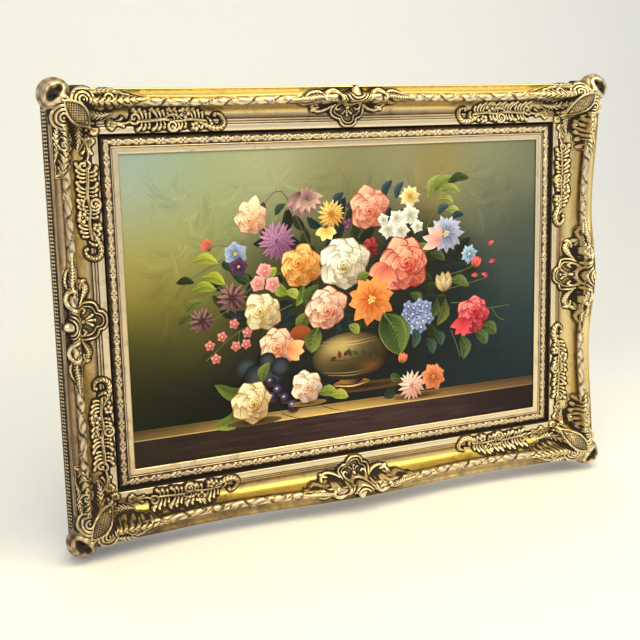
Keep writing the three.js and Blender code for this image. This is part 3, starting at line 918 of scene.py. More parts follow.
def gilding_group():
    """Leaf over brown clay, toned dark in the hollows and worn bright on the crests; the dark toning
    also takes painted shade, the bright leaf painted highlight and the tone painted reflection.
    """
    n, start, end = group(
        "Aged gilding",
        {
            "Patina_And_Shade": 0.0, "Rub_And_Highlight": 0.0, "Tone": 0.0, "Pale Gold": COLOUR, "Rich Gold": COLOUR,
            "Clay": COLOUR, "Toning": COLOUR, "Wear": 0.5,
        },
        {"Color": COLOUR, "Roughness": NUMBER, "Metallic": NUMBER, "Height": NUMBER},
    )
    broad = n.noise(7.0, 3.0)
    mottle = n.noise(46.0, 6.0, 0.65, 0.4)
    grit = n.noise(420.0, 3.0, 0.6)
    specks = n.noise(160.0, 2.0, 0.8)
    leaf = n.blend(start["Tone"], start["Pale Gold"], start["Rich Gold"])
    leaf = n.blend(n.remap(broad, 0.3, 0.7, 0.0, 0.30), leaf, start["Rich Gold"])
    thin = n.maths("MULTIPLY", n.remap(mottle, 0.56, 0.80), 0.42)
    leaf = n.blend(thin, leaf, start["Clay"])
    worn_and_highlit = n.maths("MULTIPLY", start["Rub_And_Highlight"], start["Wear"], True)
    leaf = n.blend(worn_and_highlit, leaf, RUB_AND_HIGHLIGHT_GOLD)
    wobble = n.remap(mottle, 0.3, 0.7, -0.16, 0.16)
    dark = n.remap(n.maths("ADD", start["Patina_And_Shade"], wobble), 0.14, 0.62)
    brown = n.remap(start["Patina_And_Shade"], 0.02, 0.40, 0.0, 0.75)
    toned = n.blend(brown, leaf, start["Clay"])
    toned = n.blend(dark, toned, start["Toning"])
    toned = n.blend(n.remap(specks, 0.70, 0.78, 0.0, 0.5), toned, start["Toning"])
    dull = n.remap(mottle, 0.25, 0.75, 0.24, 0.44)
    n.feed(end["Color"], toned)
    n.feed(end["Roughness"], n.maths("ADD", dull, n.maths("MULTIPLY", dark, 0.35), True))
    n.feed(end["Metallic"], n.remap(dark, 0.0, 1.0, 0.97, 0.25))
    n.feed(end["Height"], n.maths("ADD", n.maths("MULTIPLY", grit, 0.25), mottle))
    return n.tree


def wood_group():
    """Straight grain with growth bands and pores; Along stretches them down the piece."""
    n, start, end = group(
        "Plain wood",
        {"Wood": COLOUR, "Along": VECTOR},
        {"Color": COLOUR, "Roughness": NUMBER, "Height": NUMBER},
    )
    squeezed = n.add("VectorMath", {0: n.place(), 1: start["Along"]}, operation="MULTIPLY")[0]
    bands = n.noise(38.0, 5.0, 0.5, 0.7, squeezed)
    pores = n.noise(260.0, 3.0, 0.5, 0.0, squeezed)
    pits = n.remap(pores, 0.3, 0.55, 0.80, 1.0)
    value = n.maths("MULTIPLY", n.remap(bands, 0.35, 0.66, 0.58, 1.12), pits)
    n.feed(end["Color"], n.scaled(start["Wood"], value))
    n.feed(end["Roughness"], n.remap(pits, 0.8, 1.0, 0.85, 0.6))
    n.feed(end["Height"], value)
    return n.tree


def weave_group():
    """Plain weave: two crossed sets of threads with uneven slubs."""
    n, start, end = group(
        "Plain weave", {"Thread Scale": 1000.0}, {"Shade": NUMBER, "Height": NUMBER}
    )
    apart = n.add("SeparateXYZ", {0: n.place()})
    wander = n.remap(n.noise(160.0, 3.0), 0.3, 0.7, -0.9, 0.9)
    waves = []
    for axis in ("X", "Z"):
        turns = n.maths("MULTIPLY", apart[axis], start["Thread Scale"])
        waves.append(n.maths("SINE", n.maths("ADD", turns, wander)))
    top = n.maths("MAXIMUM", *waves)
    n.feed(end["Shade"], n.remap(top, -0.4, 1.0, 0.72, 1.05))
    n.feed(end["Height"], top)
    return n.tree


def brush_group():
    """Bristle streaks that follow each stroke, with a film of varnish over them."""
    n, start, end = group(
        "Brushed oil",
        {"Paint": COLOUR, "Along": 0.0, "Across": 0.0, "Streak": 0.35},
        {"Color": COLOUR, "Roughness": NUMBER, "Height": NUMBER},
    )
    drawn = n.maths("MULTIPLY", start["Along"], 0.07)
    streaks = n.noise(0.9, 4.0, 0.5, 0.0, n.add("CombineXYZ", {0: drawn, 1: start["Across"]})[0])
    value = n.remap(streaks, 0.25, 0.75, -1.0, 1.0)
    value = n.maths("ADD", n.maths("MULTIPLY", value, start["Streak"]), 1.0)
    n.feed(end["Color"], n.scaled(start["Paint"], value))
    n.feed(end["Roughness"], n.remap(n.noise(12.0, 2.0), 0.3, 0.7, 0.50, 0.66))
    n.feed(end["Height"], streaks)
    return n.tree


GROUPS = {
    "Aged gilding": gilding_group, "Plain wood": wood_group, "Plain weave": weave_group,
    "Brushed oil": brush_group,
}


def new_material(name):
    """A material, its node tree to add to, and the inputs of its shader."""
    material = bpy.data.materials.new(name)
    material.use_nodes = True
    tree = material.node_tree
    return material, Shading(tree), tree.nodes["Principled BSDF"].inputs


def gilt_material(name, colours, strength=0.35):
    material, n, shader = new_material(name)
    # The dark toning mark on the mesh also carries painted shade, the bright leaf mark carries painted
    # highlight, and the tone mark carries painted reflection.
    values = {label: n.mark(label.lower()) for label in ("Patina_And_Shade", "Rub_And_Highlight", "Tone")}
    values |= {
        "Pale Gold": (*colours.pale_gold, 1), "Rich Gold": (*colours.rich_gold, 1),
        "Clay": (*colours.clay, 1), "Toning": (*colours.patina_and_shade, 1), "Wear": colours.wear,
    }
    out = n.use("Aged gilding", values)
    n.dress(shader, out, out["Height"], strength, 0.0006)
    return material


def wood_material(name, colour, along):
    material, n, shader = new_material(name)
    out = n.use("Plain wood", {"Wood": (*colour, 1), "Along": along})
    n.dress(shader, out, out["Height"], 0.4, 0.0004)
    return material


def linen_material(colours, sizes):
    material, n, shader = new_material("Raw linen")
    out = n.use("Plain weave", {"Thread Scale": 2 * math.pi / sizes.weave})
    n.feed(shader["Base Color"], n.scaled(colours.linen, out["Shade"]))
    n.feed(shader["Roughness"], 0.9)
    n.dress(shader, out, out["Height"], 0.5, 0.0003)
    return material


def oil_material(name, streak, relief):
    """Varnished oil paint, coloured by what was painted on the mesh."""
    material, n, shader = new_material(name)
    values = {"Paint": n.mark("paint", "Color"), "Along": n.mark("along"), "Across": n.mark("across")}
    out = n.use("Brushed oil", {**values, "Streak": streak})
    weave = n.use("Plain weave", {"Thread Scale": 2 * math.pi / GROUND_THREAD})
    height = n.maths("ADD", n.maths("MULTIPLY", weave["Height"], 0.10), out["Height"])
    n.dress(shader, out, height, relief, 0.0005)
    n.feed(shader["Specular IOR Level"], 0.14)
    return material


# ---------------------------------------------------------------- rails and slips

RIBBON_PITCH = 41.0
# The cove and the crest take this many points of the section, after the fillets.
COVE_AND_CREST = 19
# Behind the outer edge: inset from the rail's back, forward, patina.
RAIL_TAIL = [
    (-5.5, 50, 0.1), (-8.0, 30, 0.25), (-9.0, 25, 0.9), (-8.6, 22.5, 0.5), (-7.6, 22.0, 0.3),
    (-7.0, 20.4, 0.9), (-2.2, 12.0, 0.9), (-1.4, 10.0, 0.9), (-0.6, 9.6, 0.3), (-0.2, 8.4, 0.2),
    (0.0, 1.0, 0.5), (-1.0, 0.0, 0.5),
]
RAIL_REBATE = [(74.0, 0.0), (40.4, 0.0), (40.4, 20.0), (34.4, 20.0)]
PEARL_ROWS = ((-5.7, 18.2), (-3.1, 13.2))
PEARL_SIDES = 8
OUTWARD = {"top": (0, 0, 1), "bottom": (0, 0, -1), "left": (-1, 0, 0), "right": (1, 0, 0)}


def rails_of(side):
    """The sizes of this side's rail, then those of the rails it meets."""
    return (LONG_RAIL, SHORT_RAIL) if side in ("top", "bottom") else (SHORT_RAIL, LONG_RAIL)


class Loft:
    """A mitred length of moulding, made row by row round its section."""

    def __init__(self, side, half, reach, step):
        self.side, self.half = side, half
        self.count = int(2 * reach / (step * 1000))
        self.tau = np.linspace(-1, 1, self.count)
        self.rows = []

    def along(self, s):
        """Places down the row that lies s outward, from mitre to mitre."""
        return self.tau * (self.half + s - GAP)

    def row(self, along, s, forward, patina_and_shade, tone=0.0, rub_and_highlight=0.0):
        values = np.broadcast_arrays(along, s, forward, patina_and_shade, tone, rub_and_highlight, self.tau)
        self.rows.append(np.stack(values[:6]))

    def piece(self, name, first_back, materials):
        """The closed mesh; rows from first_back on have the second material, as the ends do."""
        along, s, forward, patina_and_shade, tone, rub_and_highlight = np.stack(self.rows, axis=1)
        points = to_space(self.side, along, s, np.maximum(forward, 0.0))
        rows, count = along.shape
        faces = facing_out(points, grid_faces(rows, count, closed=True))
        first = [k * count for k in range(rows)]
        ends = [first, [k + count - 1 for k in reversed(first)]]
        which = np.repeat((np.arange(rows) >= first_back).astype(int), count - 1)
        marks = {"patina_and_shade": patina_and_shade.ravel(), "rub_and_highlight": rub_and_highlight.ravel(), "tone": tone.ravel()}
        return make_mesh(name, points, faces.tolist() + ends, materials, marks, [*which, 1, 1])


def ribbon_relief(along, v):
    """Long overlapping leaves wrapped slantwise round the crest: lift and how dark the crease is."""
    turn = along / RIBBON_PITCH + 0.55 * v + 0.10 * np.sin(4.2 * v + along / 23.0)
    phase = turn % 1.0
    rank = np.floor(turn)
    sway = 0.10 * np.sin(rank * 2.4)
    leaf = np.clip(1 - phase, 0, 1) ** 0.7 * ease(0.0, 0.07, phase)
    veins = 0.30 * np.sin(2 * np.pi * (3.2 * v + 1.6 * phase)) * np.sin(np.pi * phase)
    edge = 1 - np.abs(v) ** 5
    lift = (2.5 * leaf * (1 + sway) + veins) * edge - 0.5
    crease = np.clip(1 - phase / 0.10, 0, 1) + np.clip((phase - 0.93) / 0.07, 0, 1)
    streak = np.clip(-veins * 2.4, 0, 1) * 0.5
    return lift, np.clip(crease * 0.8 + streak, 0, 1) * edge


def rail_mesh(side, sizes, materials):
    """A swept rail, with the ribbon wrapped round its crest."""
    rail, other = rails_of(side)
    start = front_section(other, 1.0)
    loft = Loft(side, rail["half"], rail["half"] + 100, sizes.rail_step)
    for k, (s_end, *_) in enumerate(start):
        along = loft.along(float(s_end))
        s, f, patina_and_shade, tone, v = front_section(rail, rise(rail, along))[k]
        rub_and_highlight = 0.0
        if v is not None:
            lift, crease = ribbon_relief(np.abs(along) + 11 * (along > 0), np.full(loft.count, v))
            shown = 1 - ease(rail["half"] - 4, rail["half"] + 12, np.abs(along))
            lift, crease = lift * shown, crease * shown
            s = s + lift * math.sin(v * RIBBON_TURN)
            f = f + lift * math.cos(v * RIBBON_TURN)
            patina_and_shade = np.maximum(patina_and_shade, crease)
            rub_and_highlight = np.clip(lift * 0.5, 0, 1)
        # The flat fillets get bright leaf: partly worn gilding, partly painted highlight.
        elif k < len(FILLETS) and FILLETS[k][2] < 0.05:
            rub_and_highlight = 0.7
        outer = k >= len(FILLETS) + COVE_AND_CREST
        # Each side's cove and outer hollow get their painted reflection in the tone and their painted
        # shade in the darkness.
        dark, side_reflection = (OUTER_PAINTED_SHADE, OUTER_PAINTED_REFLECTION) if outer else (COVE_PAINTED_SHADE, COVE_PAINTED_REFLECTION)
        if tone and v is None:
            patina_and_shade = patina_and_shade + dark[side]
        loft.row(along, s, f, patina_and_shade, tone * side_reflection[side], rub_and_highlight)
    for inset, forward, patina_and_shade in RAIL_TAIL:
        along = loft.along(other["back"] + inset)
        loft.row(along, rail["back"] + inset, forward, patina_and_shade, 0.5)
    for s, forward in RAIL_REBATE:
        loft.row(loft.along(s), s, forward, 0.6, 0.5)
    made = loft.piece("frame_rail_" + side, len(start) + len(RAIL_TAIL) - 1, materials)
    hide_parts("rail_" + side)


def pearl_shell():
    """One small pearl: its points for a radius of 1, and its triangles."""
    n = PEARL_SIDES
    ring = np.arange(n) * 2 * np.pi / n
    dome = [(1.0, -0.3), (0.96, 0.35), (0.62, 0.80)]
    points = [(r * math.cos(a), r * math.sin(a), h) for r, h in dome for a in ring] + [(0, 0, 1.0)]
    shell = []
    for k in range(len(dome) - 1):
        for j in range(n):
            here, after = n * k + j, n * k + (j + 1) % n
            shell += [(here, after, after + n), (here, after + n, here + n)]
    top = n * (len(dome) - 1)
    shell += [(top + j, top + (j + 1) % n, top + n) for j in range(n)]
    return np.array(points), np.array(shell)


def pearl_strip(side, sizes, material):
    """Two rows of small pearls along the outer back edge, in one cast strip."""
    rail, other = rails_of(side)
    radius, pitch = sizes.pearl * 1000, sizes.pearl_pitch * 1000
    reach = rail["half"] + other["back"] - 4
    count = int(2 * reach / pitch)
    local, shell = pearl_shell()
    local = local * radius
    points, faces = [], []
    lean = math.radians(58)
    for inset, forward in PEARL_ROWS:
        for centre in np.linspace(-reach, reach, count):
            s = rail["back"] + inset + local[:, 2] * math.sin(lean) - local[:, 1] * math.cos(lean)
            f = forward + local[:, 2] * math.cos(lean) + local[:, 1] * math.sin(lean)
            faces.append(shell + len(local) * len(points))
            points.append(to_space(side, centre + local[:, 0], s, f))
    height = np.tile(local[:, 2] / radius, len(points))
    points, faces = np.vstack(points), np.vstack(faces)
    marks = {
        "patina_and_shade": np.clip(0.7 - height, 0, 0.8), "rub_and_highlight": np.clip(height, 0, 1) * 0.8,
        "tone": np.full(len(points), 0.2),
    }
    a, b, c = (points[faces[:, k]] for k in range(3))
    if float((np.cross(b - a, c - a) @ np.array(OUTWARD[side])).sum()) < 0:
        faces = faces[:, ::-1]
    made = make_mesh("pearls_" + side, points, faces, [material], marks, sharp=0)


# The slip's section from the sight edge outward: offset, forward, darkness, tone. The dark values at
# its steps are dark toning in the quirks together with painted shade.
SLIP_FRONT = [
    (0.0, 22.9, 0.7, 0.2), (0.0, 25.4, 0.1, 0.2), (0.5, 26.2, 0.0, 0.2), (2.2, 27.4, 0.0, 0.1),
    (3.4, 27.7, 0.0, 0.0), (8.0, 27.8, 0.0, 0.0), (10.9, 27.6, 0.15, 0.0), (11.5, 27.5, 0.7, 0.0),
    (12.1, 28.6, 0.2, 0.0), (12.8, 29.2, 0.0, 0.0), (13.6, 29.1, 0.0, 0.0), (14.2, 28.5, 0.3, 0.0),
    (14.8, 27.9, 0.85, 0.1),
]
SLIP_BAND = [
    (16.0, 29.0), (17.2, 29.8), (18.4, 30.4), (19.6, 30.8), (20.8, 31.1), (22.0, 31.2), (23.2, 31.1),
    (24.4, 30.9), (25.6, 30.5), (26.8, 30.0), (28.0, 29.2), (29.0, 28.4),
]
# Where the slip turns back into the gap beside the rail, the full darkness is mostly painted shade,
# with some dark toning.
SLIP_END = [
    (30.2, 27.5, 0.8), (31.4, 26.9, 0.4), (33.0, 25.0, 0.7), (34.0, 19.6, 1.0), (40.0, 19.6, 1.0),
]
SLIP_BACK = [(40.0, 5.0), (10.3, 5.0), (10.3, 22.9)]
SLIP_REPEAT = 41.0
SLIP_GROUND = -1.1


def domed(d, size):
    """A rounded back that falls to nothing at so far from its middle."""
    return np.sqrt(np.clip(1 - (d / size) ** 2, 0, 1))


def slip_band_relief(along, s):
    """Pearls in leaf brackets, then crossed ribbed leaves, over and over: lift and darkness."""
    x = np.abs((along + SLIP_REPEAT / 2) % SLIP_REPEAT - SLIP_REPEAT / 2)
    y = s - 22.5
    lift = np.full(np.broadcast(x, y).shape, SLIP_GROUND)
    for px, py, size in ((0.0, 0.0, 2.3), (3.6, 2.4, 1.6), (3.6, -2.4, 1.6)):
        lift = np.maximum(lift, 1.5 * domed(np.hypot(x - px, y - py), size) - 0.6)
    d = np.abs(np.hypot((x - 2.2) / 1.15, y) - 5.0)
    cup = np.where((x > 1.0) & (x < 9.5), 1.3 * domed(d, 1.15) - 0.3, SLIP_GROUND)
    lift = np.maximum(lift, cup)
    rise_y = 4.6 * np.sin((x - 8.5) / 12.0 * np.pi * 0.5)
    for sign in (-1, 1):
        d = np.abs(y - sign * (rise_y - 1.6))
        ribs = 0.55 + 0.45 * np.sin(2 * np.pi * (x / 2.5 + sign * y / 7))
        leaf = np.where(x > 8.0, 1.35 * ribs * domed(d, 2.7) - 0.5, SLIP_GROUND)
        lift = np.maximum(lift, leaf)
    return lift, np.clip(-lift * 0.95, 0, 1)


def slip_mesh(side, sizes, materials):
    """A length of the slip, with its leaf band."""
    half = rails_of(side)[0]["half"]
    loft = Loft(side, half, half + 22, sizes.slip_step)

    # Everything on the slip that is not dark gets some bright leaf: partly worn gilding, partly painted
    # highlight on its flats.
    def row(s, forward, patina_and_shade, tone=0.0):
        loft.row(loft.along(s), s, forward, patina_and_shade, tone, np.clip(0.4 - patina_and_shade, 0, 1))

    for section in SLIP_FRONT:
        row(*section)
    for s, forward in SLIP_BAND:
        lift, patina_and_shade = slip_band_relief(loft.tau * (half + s), np.full(loft.count, s))
        row(s, forward + lift, patina_and_shade)
    for section in SLIP_END:
        row(*section, 0.1)
    first_back = len(loft.rows) - 1
    for s, forward in SLIP_BACK:
        row(s, forward, 0.6)
    made = loft.piece("slip_" + side, first_back, materials)
    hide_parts("liner_" + side)


# ---------------------------------------------------------------- castings


def plan_bed(rail, along, s, pitch):
    """The moulding under a casting, eased over its small steps so the casting beds down."""
    plain = front_height(rail, along, s)
    return plain, np.maximum(plain, blurred(plain, 2.6 / pitch))


def foliage(name, side, sign, pitch, material):
    """A leaf run beside a corner; the ones on the short rails start further out."""
    rail = rails_of(side)[0]
    shift = 0.0 if rail is LONG_RAIL else -13.0
    p, s = np.meshgrid(np.arange(-24, 206, pitch), np.arange(36.2, 92, pitch), indexing="ij")
    along = sign * (rail["half"] - p - shift)
    plain, bed = plan_bed(rail, along, s, pitch)
    relief = Relief(p, s, bed)
    run_design(relief)
    cast_ground(relief, pitch, 2.4, 0.7, 1.0)
    relief.high = np.where(s < 37.0, relief.floor, relief.high)

    def place(_, up, high):
        return to_space(side, along, up, high)

    made = patch_object("leaves_" + name, AGED[side], relief, plain, place, material)
    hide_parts("foliage_" + name)


def cartouche(side, pitch, material):
    """The casting at the middle of a side, drawn out wider on the short rails."""
    rail = rails_of(side)[0]
    wide = 0.0 if rail is LONG_RAIL else 8.5
    u, s = np.meshgrid(np.arange(-131, 131.1, pitch), np.arange(36.2, 136, pitch), indexing="ij")
    plain, bed = plan_bed(rail, u, s, pitch)
    design = s - wide * ease(60, 84, s)
    relief = Relief(u.copy(), design, bed)
    cartouche_design(relief)
    cast_ground(relief, pitch, 2.6, 0.8, s < rail["edge"] - 1)
    relief.high = np.where((s < 37.2) | (design > 119), relief.floor, relief.high)
    hang = s > rail["edge"] - 2
    lower = np.maximum(bed - 12, relief.high - 10)

    def place(across, _, high):
        return to_space(side, across, s, high)

    made = patch_object("centre_" + side, AGED[side], relief, plain, place, material, hang, lower)
    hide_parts("cartouche_" + side)


def corner(name, pitch, material):
    """A corner casting, modelled in offsets from the sight corner along X and along Z."""
    east = 1 if name[1] == "r" else -1
    north = 1 if name[0] == "t" else -1
    a, b = np.meshgrid(np.arange(-52, 146, pitch), np.arange(-40, 144, pitch), indexing="ij")
    on_long = b * 128 >= a * 118
    s = np.where(on_long, b, a)
    plain = np.where(
        on_long,
        front_height(LONG_RAIL, HALF_W + a, np.maximum(b, 20)),
        front_height(SHORT_RAIL, HALF_H + b, np.maximum(a, 20)),
    )
    soft = np.maximum(plain, blurred(plain, 3.0 / pitch))
    dome = 86 - 0.0088 * ((a - 95) ** 2 + (b - 92) ** 2)
    within = ease(38, 60, a) * ease(38, 60, b) * (1 - ease(108, 122, a)) * (1 - ease(104, 115, b))
    bed = mix(soft, np.maximum(dome, soft), within)
    relief = Relief(a, b, bed)
    corner_design(relief)
    cast_ground(relief, pitch, 4.0, 1.0, (a < 119) & (b < 112))
    relief.high = np.where((a < 37) & (b < 37), relief.floor, relief.high)
    hang = s > 112
    lower = np.maximum(plain - 12, relief.high - 11)

    def place(u, v, high):
        return np.stack([east * (HALF_W + u), -high, north * (HALF_H + v) + PICTURE_Z], -1) / 1000

    aged = AGED[name]
    bulb = corner_bulb(place, aged)
    made = patch_object("corner_piece_" + name, aged, relief, plain, place, material, hang, lower, bulb)
    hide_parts("corner_" + name)


# ---------------------------------------------------------------- the painted picture

# Broad soft areas of the ground: place across, place up, reach, colour.
GROUND = [
    (-420, 270, 110, "93A8A6"), (-300, 200, 120, "8E9B6C"), (-390, 90, 120, "968B3C"),
    (-330, -10, 90, "4C4820"), (-420, -90, 100, "24260F"), (-330, -180, 120, "10110B"),
    (-140, 270, 110, "A6AA88"), (-40, 230, 90, "868250"), (90, 275, 90, "8C8C6C"),
    (220, 255, 70, "8B7C49"), (330, 270, 90, "7F876B"), (430, 240, 70, "6A6F5C"),
    (410, 130, 80, "4B5146"), (330, 190, 60, "5D6252"), (420, 30, 80, "3B4848"),
    (400, -80, 90, "26363A"), (330, -190, 110, "18242A"), (0, 90, 150, "26281B"),
    (-150, 60, 110, "33341F"), (-160, -120, 110, "191B19"), (40, -180, 120, "15181B"),
    (180, -40, 120, "171D1D"),
]


# Where the painted light comes from.
LIT_FROM = math.radians(120)
ROSE_LIT_FROM = math.radians(125)
GOLDEN_TURN = 2.39996
# The slant of the brushwork in the ground, in degrees.
BRUSHED = 38
# How far the first layer of paint stands off the cloth, and each layer off the last.
PAINT_LIFT = 0.05
PAINT_STEP = 0.012


def hue(code):
    """A colour written as six hex digits, turned to linear light; a linear colour stays as it is."""
    if not isinstance(code, str):
        return np.asarray(code, float)
    c = np.array([int(code[k : k + 2], 16) for k in (0, 2, 4)]) / 255
    return np.where(c <= 0.04045, c / 12.92, ((c + 0.055) / 1.055) ** 2.4)


def between(first, second, share):
    """A colour part of the way between two, for every place of a grid."""
    return mix(hue(first), hue(second), np.asarray(share)[..., None])


def even(colour):
    """The shade of a disc that is one colour all over."""
    return lambda u, v: hue(colour) + 0 * u[..., None]


def lit_from_above(low, high, start):
    return lambda u, v: between(low, high, np.clip(start + v, 0, 1))


def ground_colour(x, z):
    """The blended ground, with the shelf's front and lit top along the bottom."""
    x, z = np.asarray(x, float), np.asarray(z, float)
    total = np.zeros(x.shape + (3,))
    weight = np.zeros(x.shape + (1,))
    for px, pz, reach, code in GROUND:
        w = np.exp(-((x - px) ** 2 + (z - pz) ** 2) / reach**2)[..., None] + 1e-9
        total += w * hue(code)
        weight += w
    colour = total / weight
    shelf = ease(-236, -243, z)[..., None]
    front = between("2C2019", "3B2A2A", ease(-300, 60, x))
    front = mix(front, hue("241A1C"), ease(120, 420, x)[..., None])
    return mix(colour, front, shelf)


class Painting:
    """Brush strokes laid one over another, each a thin flat skin of paint."""

    def __init__(self, seed):
        self.luck = np.random.default_rng(seed)
        self.strokes = []

    def stroke(self, points, widths, colours, light=0.12, steps=6, columns=4, grain=1.0):
        """One stroke: light is how much brighter its left edge is, and grain how coarse its streaks."""
        line = curve(points, steps)
        tangent = np.gradient(line, axis=0)
        tangent /= np.maximum(np.linalg.norm(tangent, axis=1), 1e-6)[:, None]
        normal = np.stack([-tangent[:, 1], tangent[:, 0]], -1)
        t = np.linspace(0, 1, steps)
        half = np.interp(t, np.linspace(0, 1, len(widths)), widths)
        v = np.linspace(-1, 1, columns)
        at = line[:, None] + normal[:, None] * (half[:, None] * v[None])[..., None]
        shades = np.array([hue(c) for c in colours])
        stops = np.linspace(0, 1, len(shades))
        rgb = np.stack([np.interp(t, stops, shades[:, k]) for k in range(3)], -1)
        factor = 1 + light * v[None] + 0.05 * self.luck.standard_normal()
        rgb = np.clip(rgb[:, None] * factor[..., None], 0, 1)
        run = np.concatenate([[0], np.cumsum(np.linalg.norm(np.diff(line, axis=0), axis=1))])
        offset = self.luck.uniform(0, 900)
        along = (run[:, None] + offset + 0 * v[None]) * grain
        across = (half[:, None] * v[None] + offset * 0.37) * grain
        self.add(at, rgb, along, across)

    def add(self, at, rgb, along, across):
        self.strokes.append((at, rgb, along, across))

    def disc(self, centre, radii, shade, rings=5, spokes=22):
        """A rounded form; shade(u, v) gives the colour from -1 to 1 across and up."""
        r = np.linspace(0.02, 1, rings)[:, None]
        a = np.linspace(0.0, 2 * math.pi, spokes)[None]
        u, v = r * np.cos(a), r * np.sin(a)
        at = np.stack([centre[0] + radii[0] * u, centre[1] + radii[1] * v], -1)
        self.add(at, np.clip(shade(u, v), 0, 1), u * radii[0] + centre[0], v * radii[1] + centre[1])

    def petal(self, root, degrees, size, width, deep, pale, bend=0.0, light=0.12, pointed=0.0):
        """One petal from its root outward, deep in colour at the root and pale at the tip."""
        line = walk(root, degrees, size, bend, False)
        outline = [0.30, 0.78, 1.0, 0.92 - 0.25 * pointed, 0.62 - 0.4 * pointed, 0.04]
        widths = np.array(outline) * width / 2
        deep, pale = hue(deep), hue(pale)
        mid = mix(deep, pale, 0.45)
        self.stroke(line, widths, [deep, mid, mix(mid, pale, 0.6), pale], light, steps=7)

    def turn_away(self, first, centre, r, depth=0.5):
        """Shades what was painted since the first stroke on its low right side, away from the light."""
        for k in range(first, len(self.strokes)):
            at, rgb, run, side = self.strokes[k]
            off = ((at[..., 0] - centre[0]) * 0.6 - (at[..., 1] - centre[1]) * 0.8) / r
            dark = depth * ease(-0.35, 1.15, off)[..., None]
            self.strokes[k] = (at, rgb * (1 - dark * np.array([0.78, 1.0, 0.92])), run, side)

    def layers(self):
        """How many strokes lie under each one where they cross."""
        low = np.array([s[0].reshape(-1, 2).min(0) for s in self.strokes])
        high = np.array([s[0].reshape(-1, 2).max(0) for s in self.strokes])
        level = np.zeros(len(low), int)
        for k in range(1, len(low)):
            over = (low[:k] < high[k]).all(1) & (high[:k] > low[k]).all(1)
            level[k] = level[:k][over].max() + 1 if over.any() else 0
        return level

    def arrays(self, base, step):
        """The mesh of every stroke, each layer a step further forward."""
        points, faces, paint, along, across = [], [], [], [], []
        count = 0
        for level, (at, rgb, run, side) in zip(self.layers(), self.strokes):
            rows, columns = at.shape[:2]
            forward = np.full((rows, columns), base + step * level)
            here = np.stack([at[..., 0], -forward, at[..., 1] + PICTURE_Z], -1)
            points.append(here.reshape(-1, 3) / 1000)
            quads = grid_faces(rows, columns) + count
            a, b, c = (points[-1][quads[:, k] - count] for k in range(3))
            turned = float(np.cross(b - a, c - a)[:, 1].sum()) > 0
            faces.append(quads[:, ::-1] if turned else quads)
            paint.append(np.concatenate([rgb.reshape(-1, 3), np.ones((rows * columns, 1))], 1))
            along.append(np.broadcast_to(run, (rows, columns)).ravel())
            across.append(np.broadcast_to(side, (rows, columns)).ravel())
            count += rows * columns
        run, side = np.concatenate(along), np.concatenate(across)
        marks = {"paint": np.vstack(paint), "along": run, "across": side}
        return np.vstack(points), np.vstack(faces), marks


def rose(p, centre, r, deep, middle, pale, spin=0.0, open_to=(0.0, 0.0)):
    """A full rose or peony: three rings of cupped petals round a rolled heart."""
    x, z = centre
    deep, middle, pale = hue(deep), hue(middle), hue(pale)
    first = len(p.strokes)
    p.disc(centre, (r * 0.82, r * 0.76), even(deep * 0.6))
    rings = ((7, 0.34, 0.64, 0.86, 0.0), (6, 0.22, 0.54, 0.74, 0.5), (5, 0.10, 0.44, 0.60, 0.2))
    for ring, (count, start, size, width, step) in enumerate(rings):
        for k in range(count):
            turn = spin + 360 * (k + step) / count + p.luck.uniform(-13, 13)
            a = math.radians(turn)
            lit = 0.5 + 0.5 * math.cos(a - ROSE_LIT_FROM)
            reach = size * r * p.luck.uniform(0.84, 1.12)
            bend = p.luck.uniform(-30, 30)
            root = (
                x + open_to[0] * r * ring * 0.16 + start * r * math.cos(a),
                z + open_to[1] * r * ring * 0.16 + start * r * math.sin(a),
            )
            tip = mix(middle, pale, lit) * (0.74 + 0.28 * lit)
            base = mix(deep, middle, 0.3 * lit) * 0.8
            under = mix(deep, middle, 0.4) * 0.8
            p.petal(root, turn, reach * 1.06, r * width * 1.12, deep * 0.6, under, bend)
            p.petal(root, turn, reach, r * width, base, tip, bend, 0.20)
            for off in (-17, 4, 19):
                glint = mix(tip, pale, 0.5)
                p.petal(root, turn + off, reach * 0.86, r * width * 0.13, base, glint, bend, 0.0, 0.8)
            fold = [
                (root[0] + reach * q * math.cos(a + d), root[1] + reach * q * math.sin(a + d))
                for q, d in ((0.80, -0.42), (0.97, 0.0), (0.80, 0.42))
            ]
            p.stroke(fold, [0.3, r * 0.05, 0.3], [tip, pale * (0.75 + 0.3 * lit), tip], 0.0, 6, 2)
    c = (x + open_to[0] * r * 0.5, z + open_to[1] * r * 0.5)
    heart = 0.33 * r

    def rolled(u, v):
        return between(middle, deep, np.clip(0.45 + 0.5 * u - 0.6 * v, 0, 1))

    p.disc(c, (heart * 1.12, heart), rolled)
    for k in range(9):
        a = math.radians(spin + 137 * k)
        q = heart * (1.0 - 0.09 * k)
        turns = (a, a + 0.6, a + 1.2, a + 1.8)
        arc = [(c[0] + q * math.cos(d), c[1] + 0.9 * q * math.sin(d)) for d in turns]
        lit = 0.5 + 0.5 * math.cos(a + 0.9 - ROSE_LIT_FROM)
        widths = [0.3, heart * 0.17, heart * 0.17, 0.3]
        p.stroke(arc, widths, [mix(deep, middle, lit), mix(middle, pale, lit)], 0.18, 7, 3)
        inner = [(c[0] + (u - c[0]) * 0.82, c[1] + (v - c[1]) * 0.82) for u, v in arc]
        p.stroke(inner, [0.2, heart * 0.07, 0.2], [deep * 0.7] * 2, 0.0, 6, 2)
    p.disc(c, (heart * 0.2, heart * 0.16), even(deep * 0.55), 2, 9)
    p.turn_away(first, centre, r)


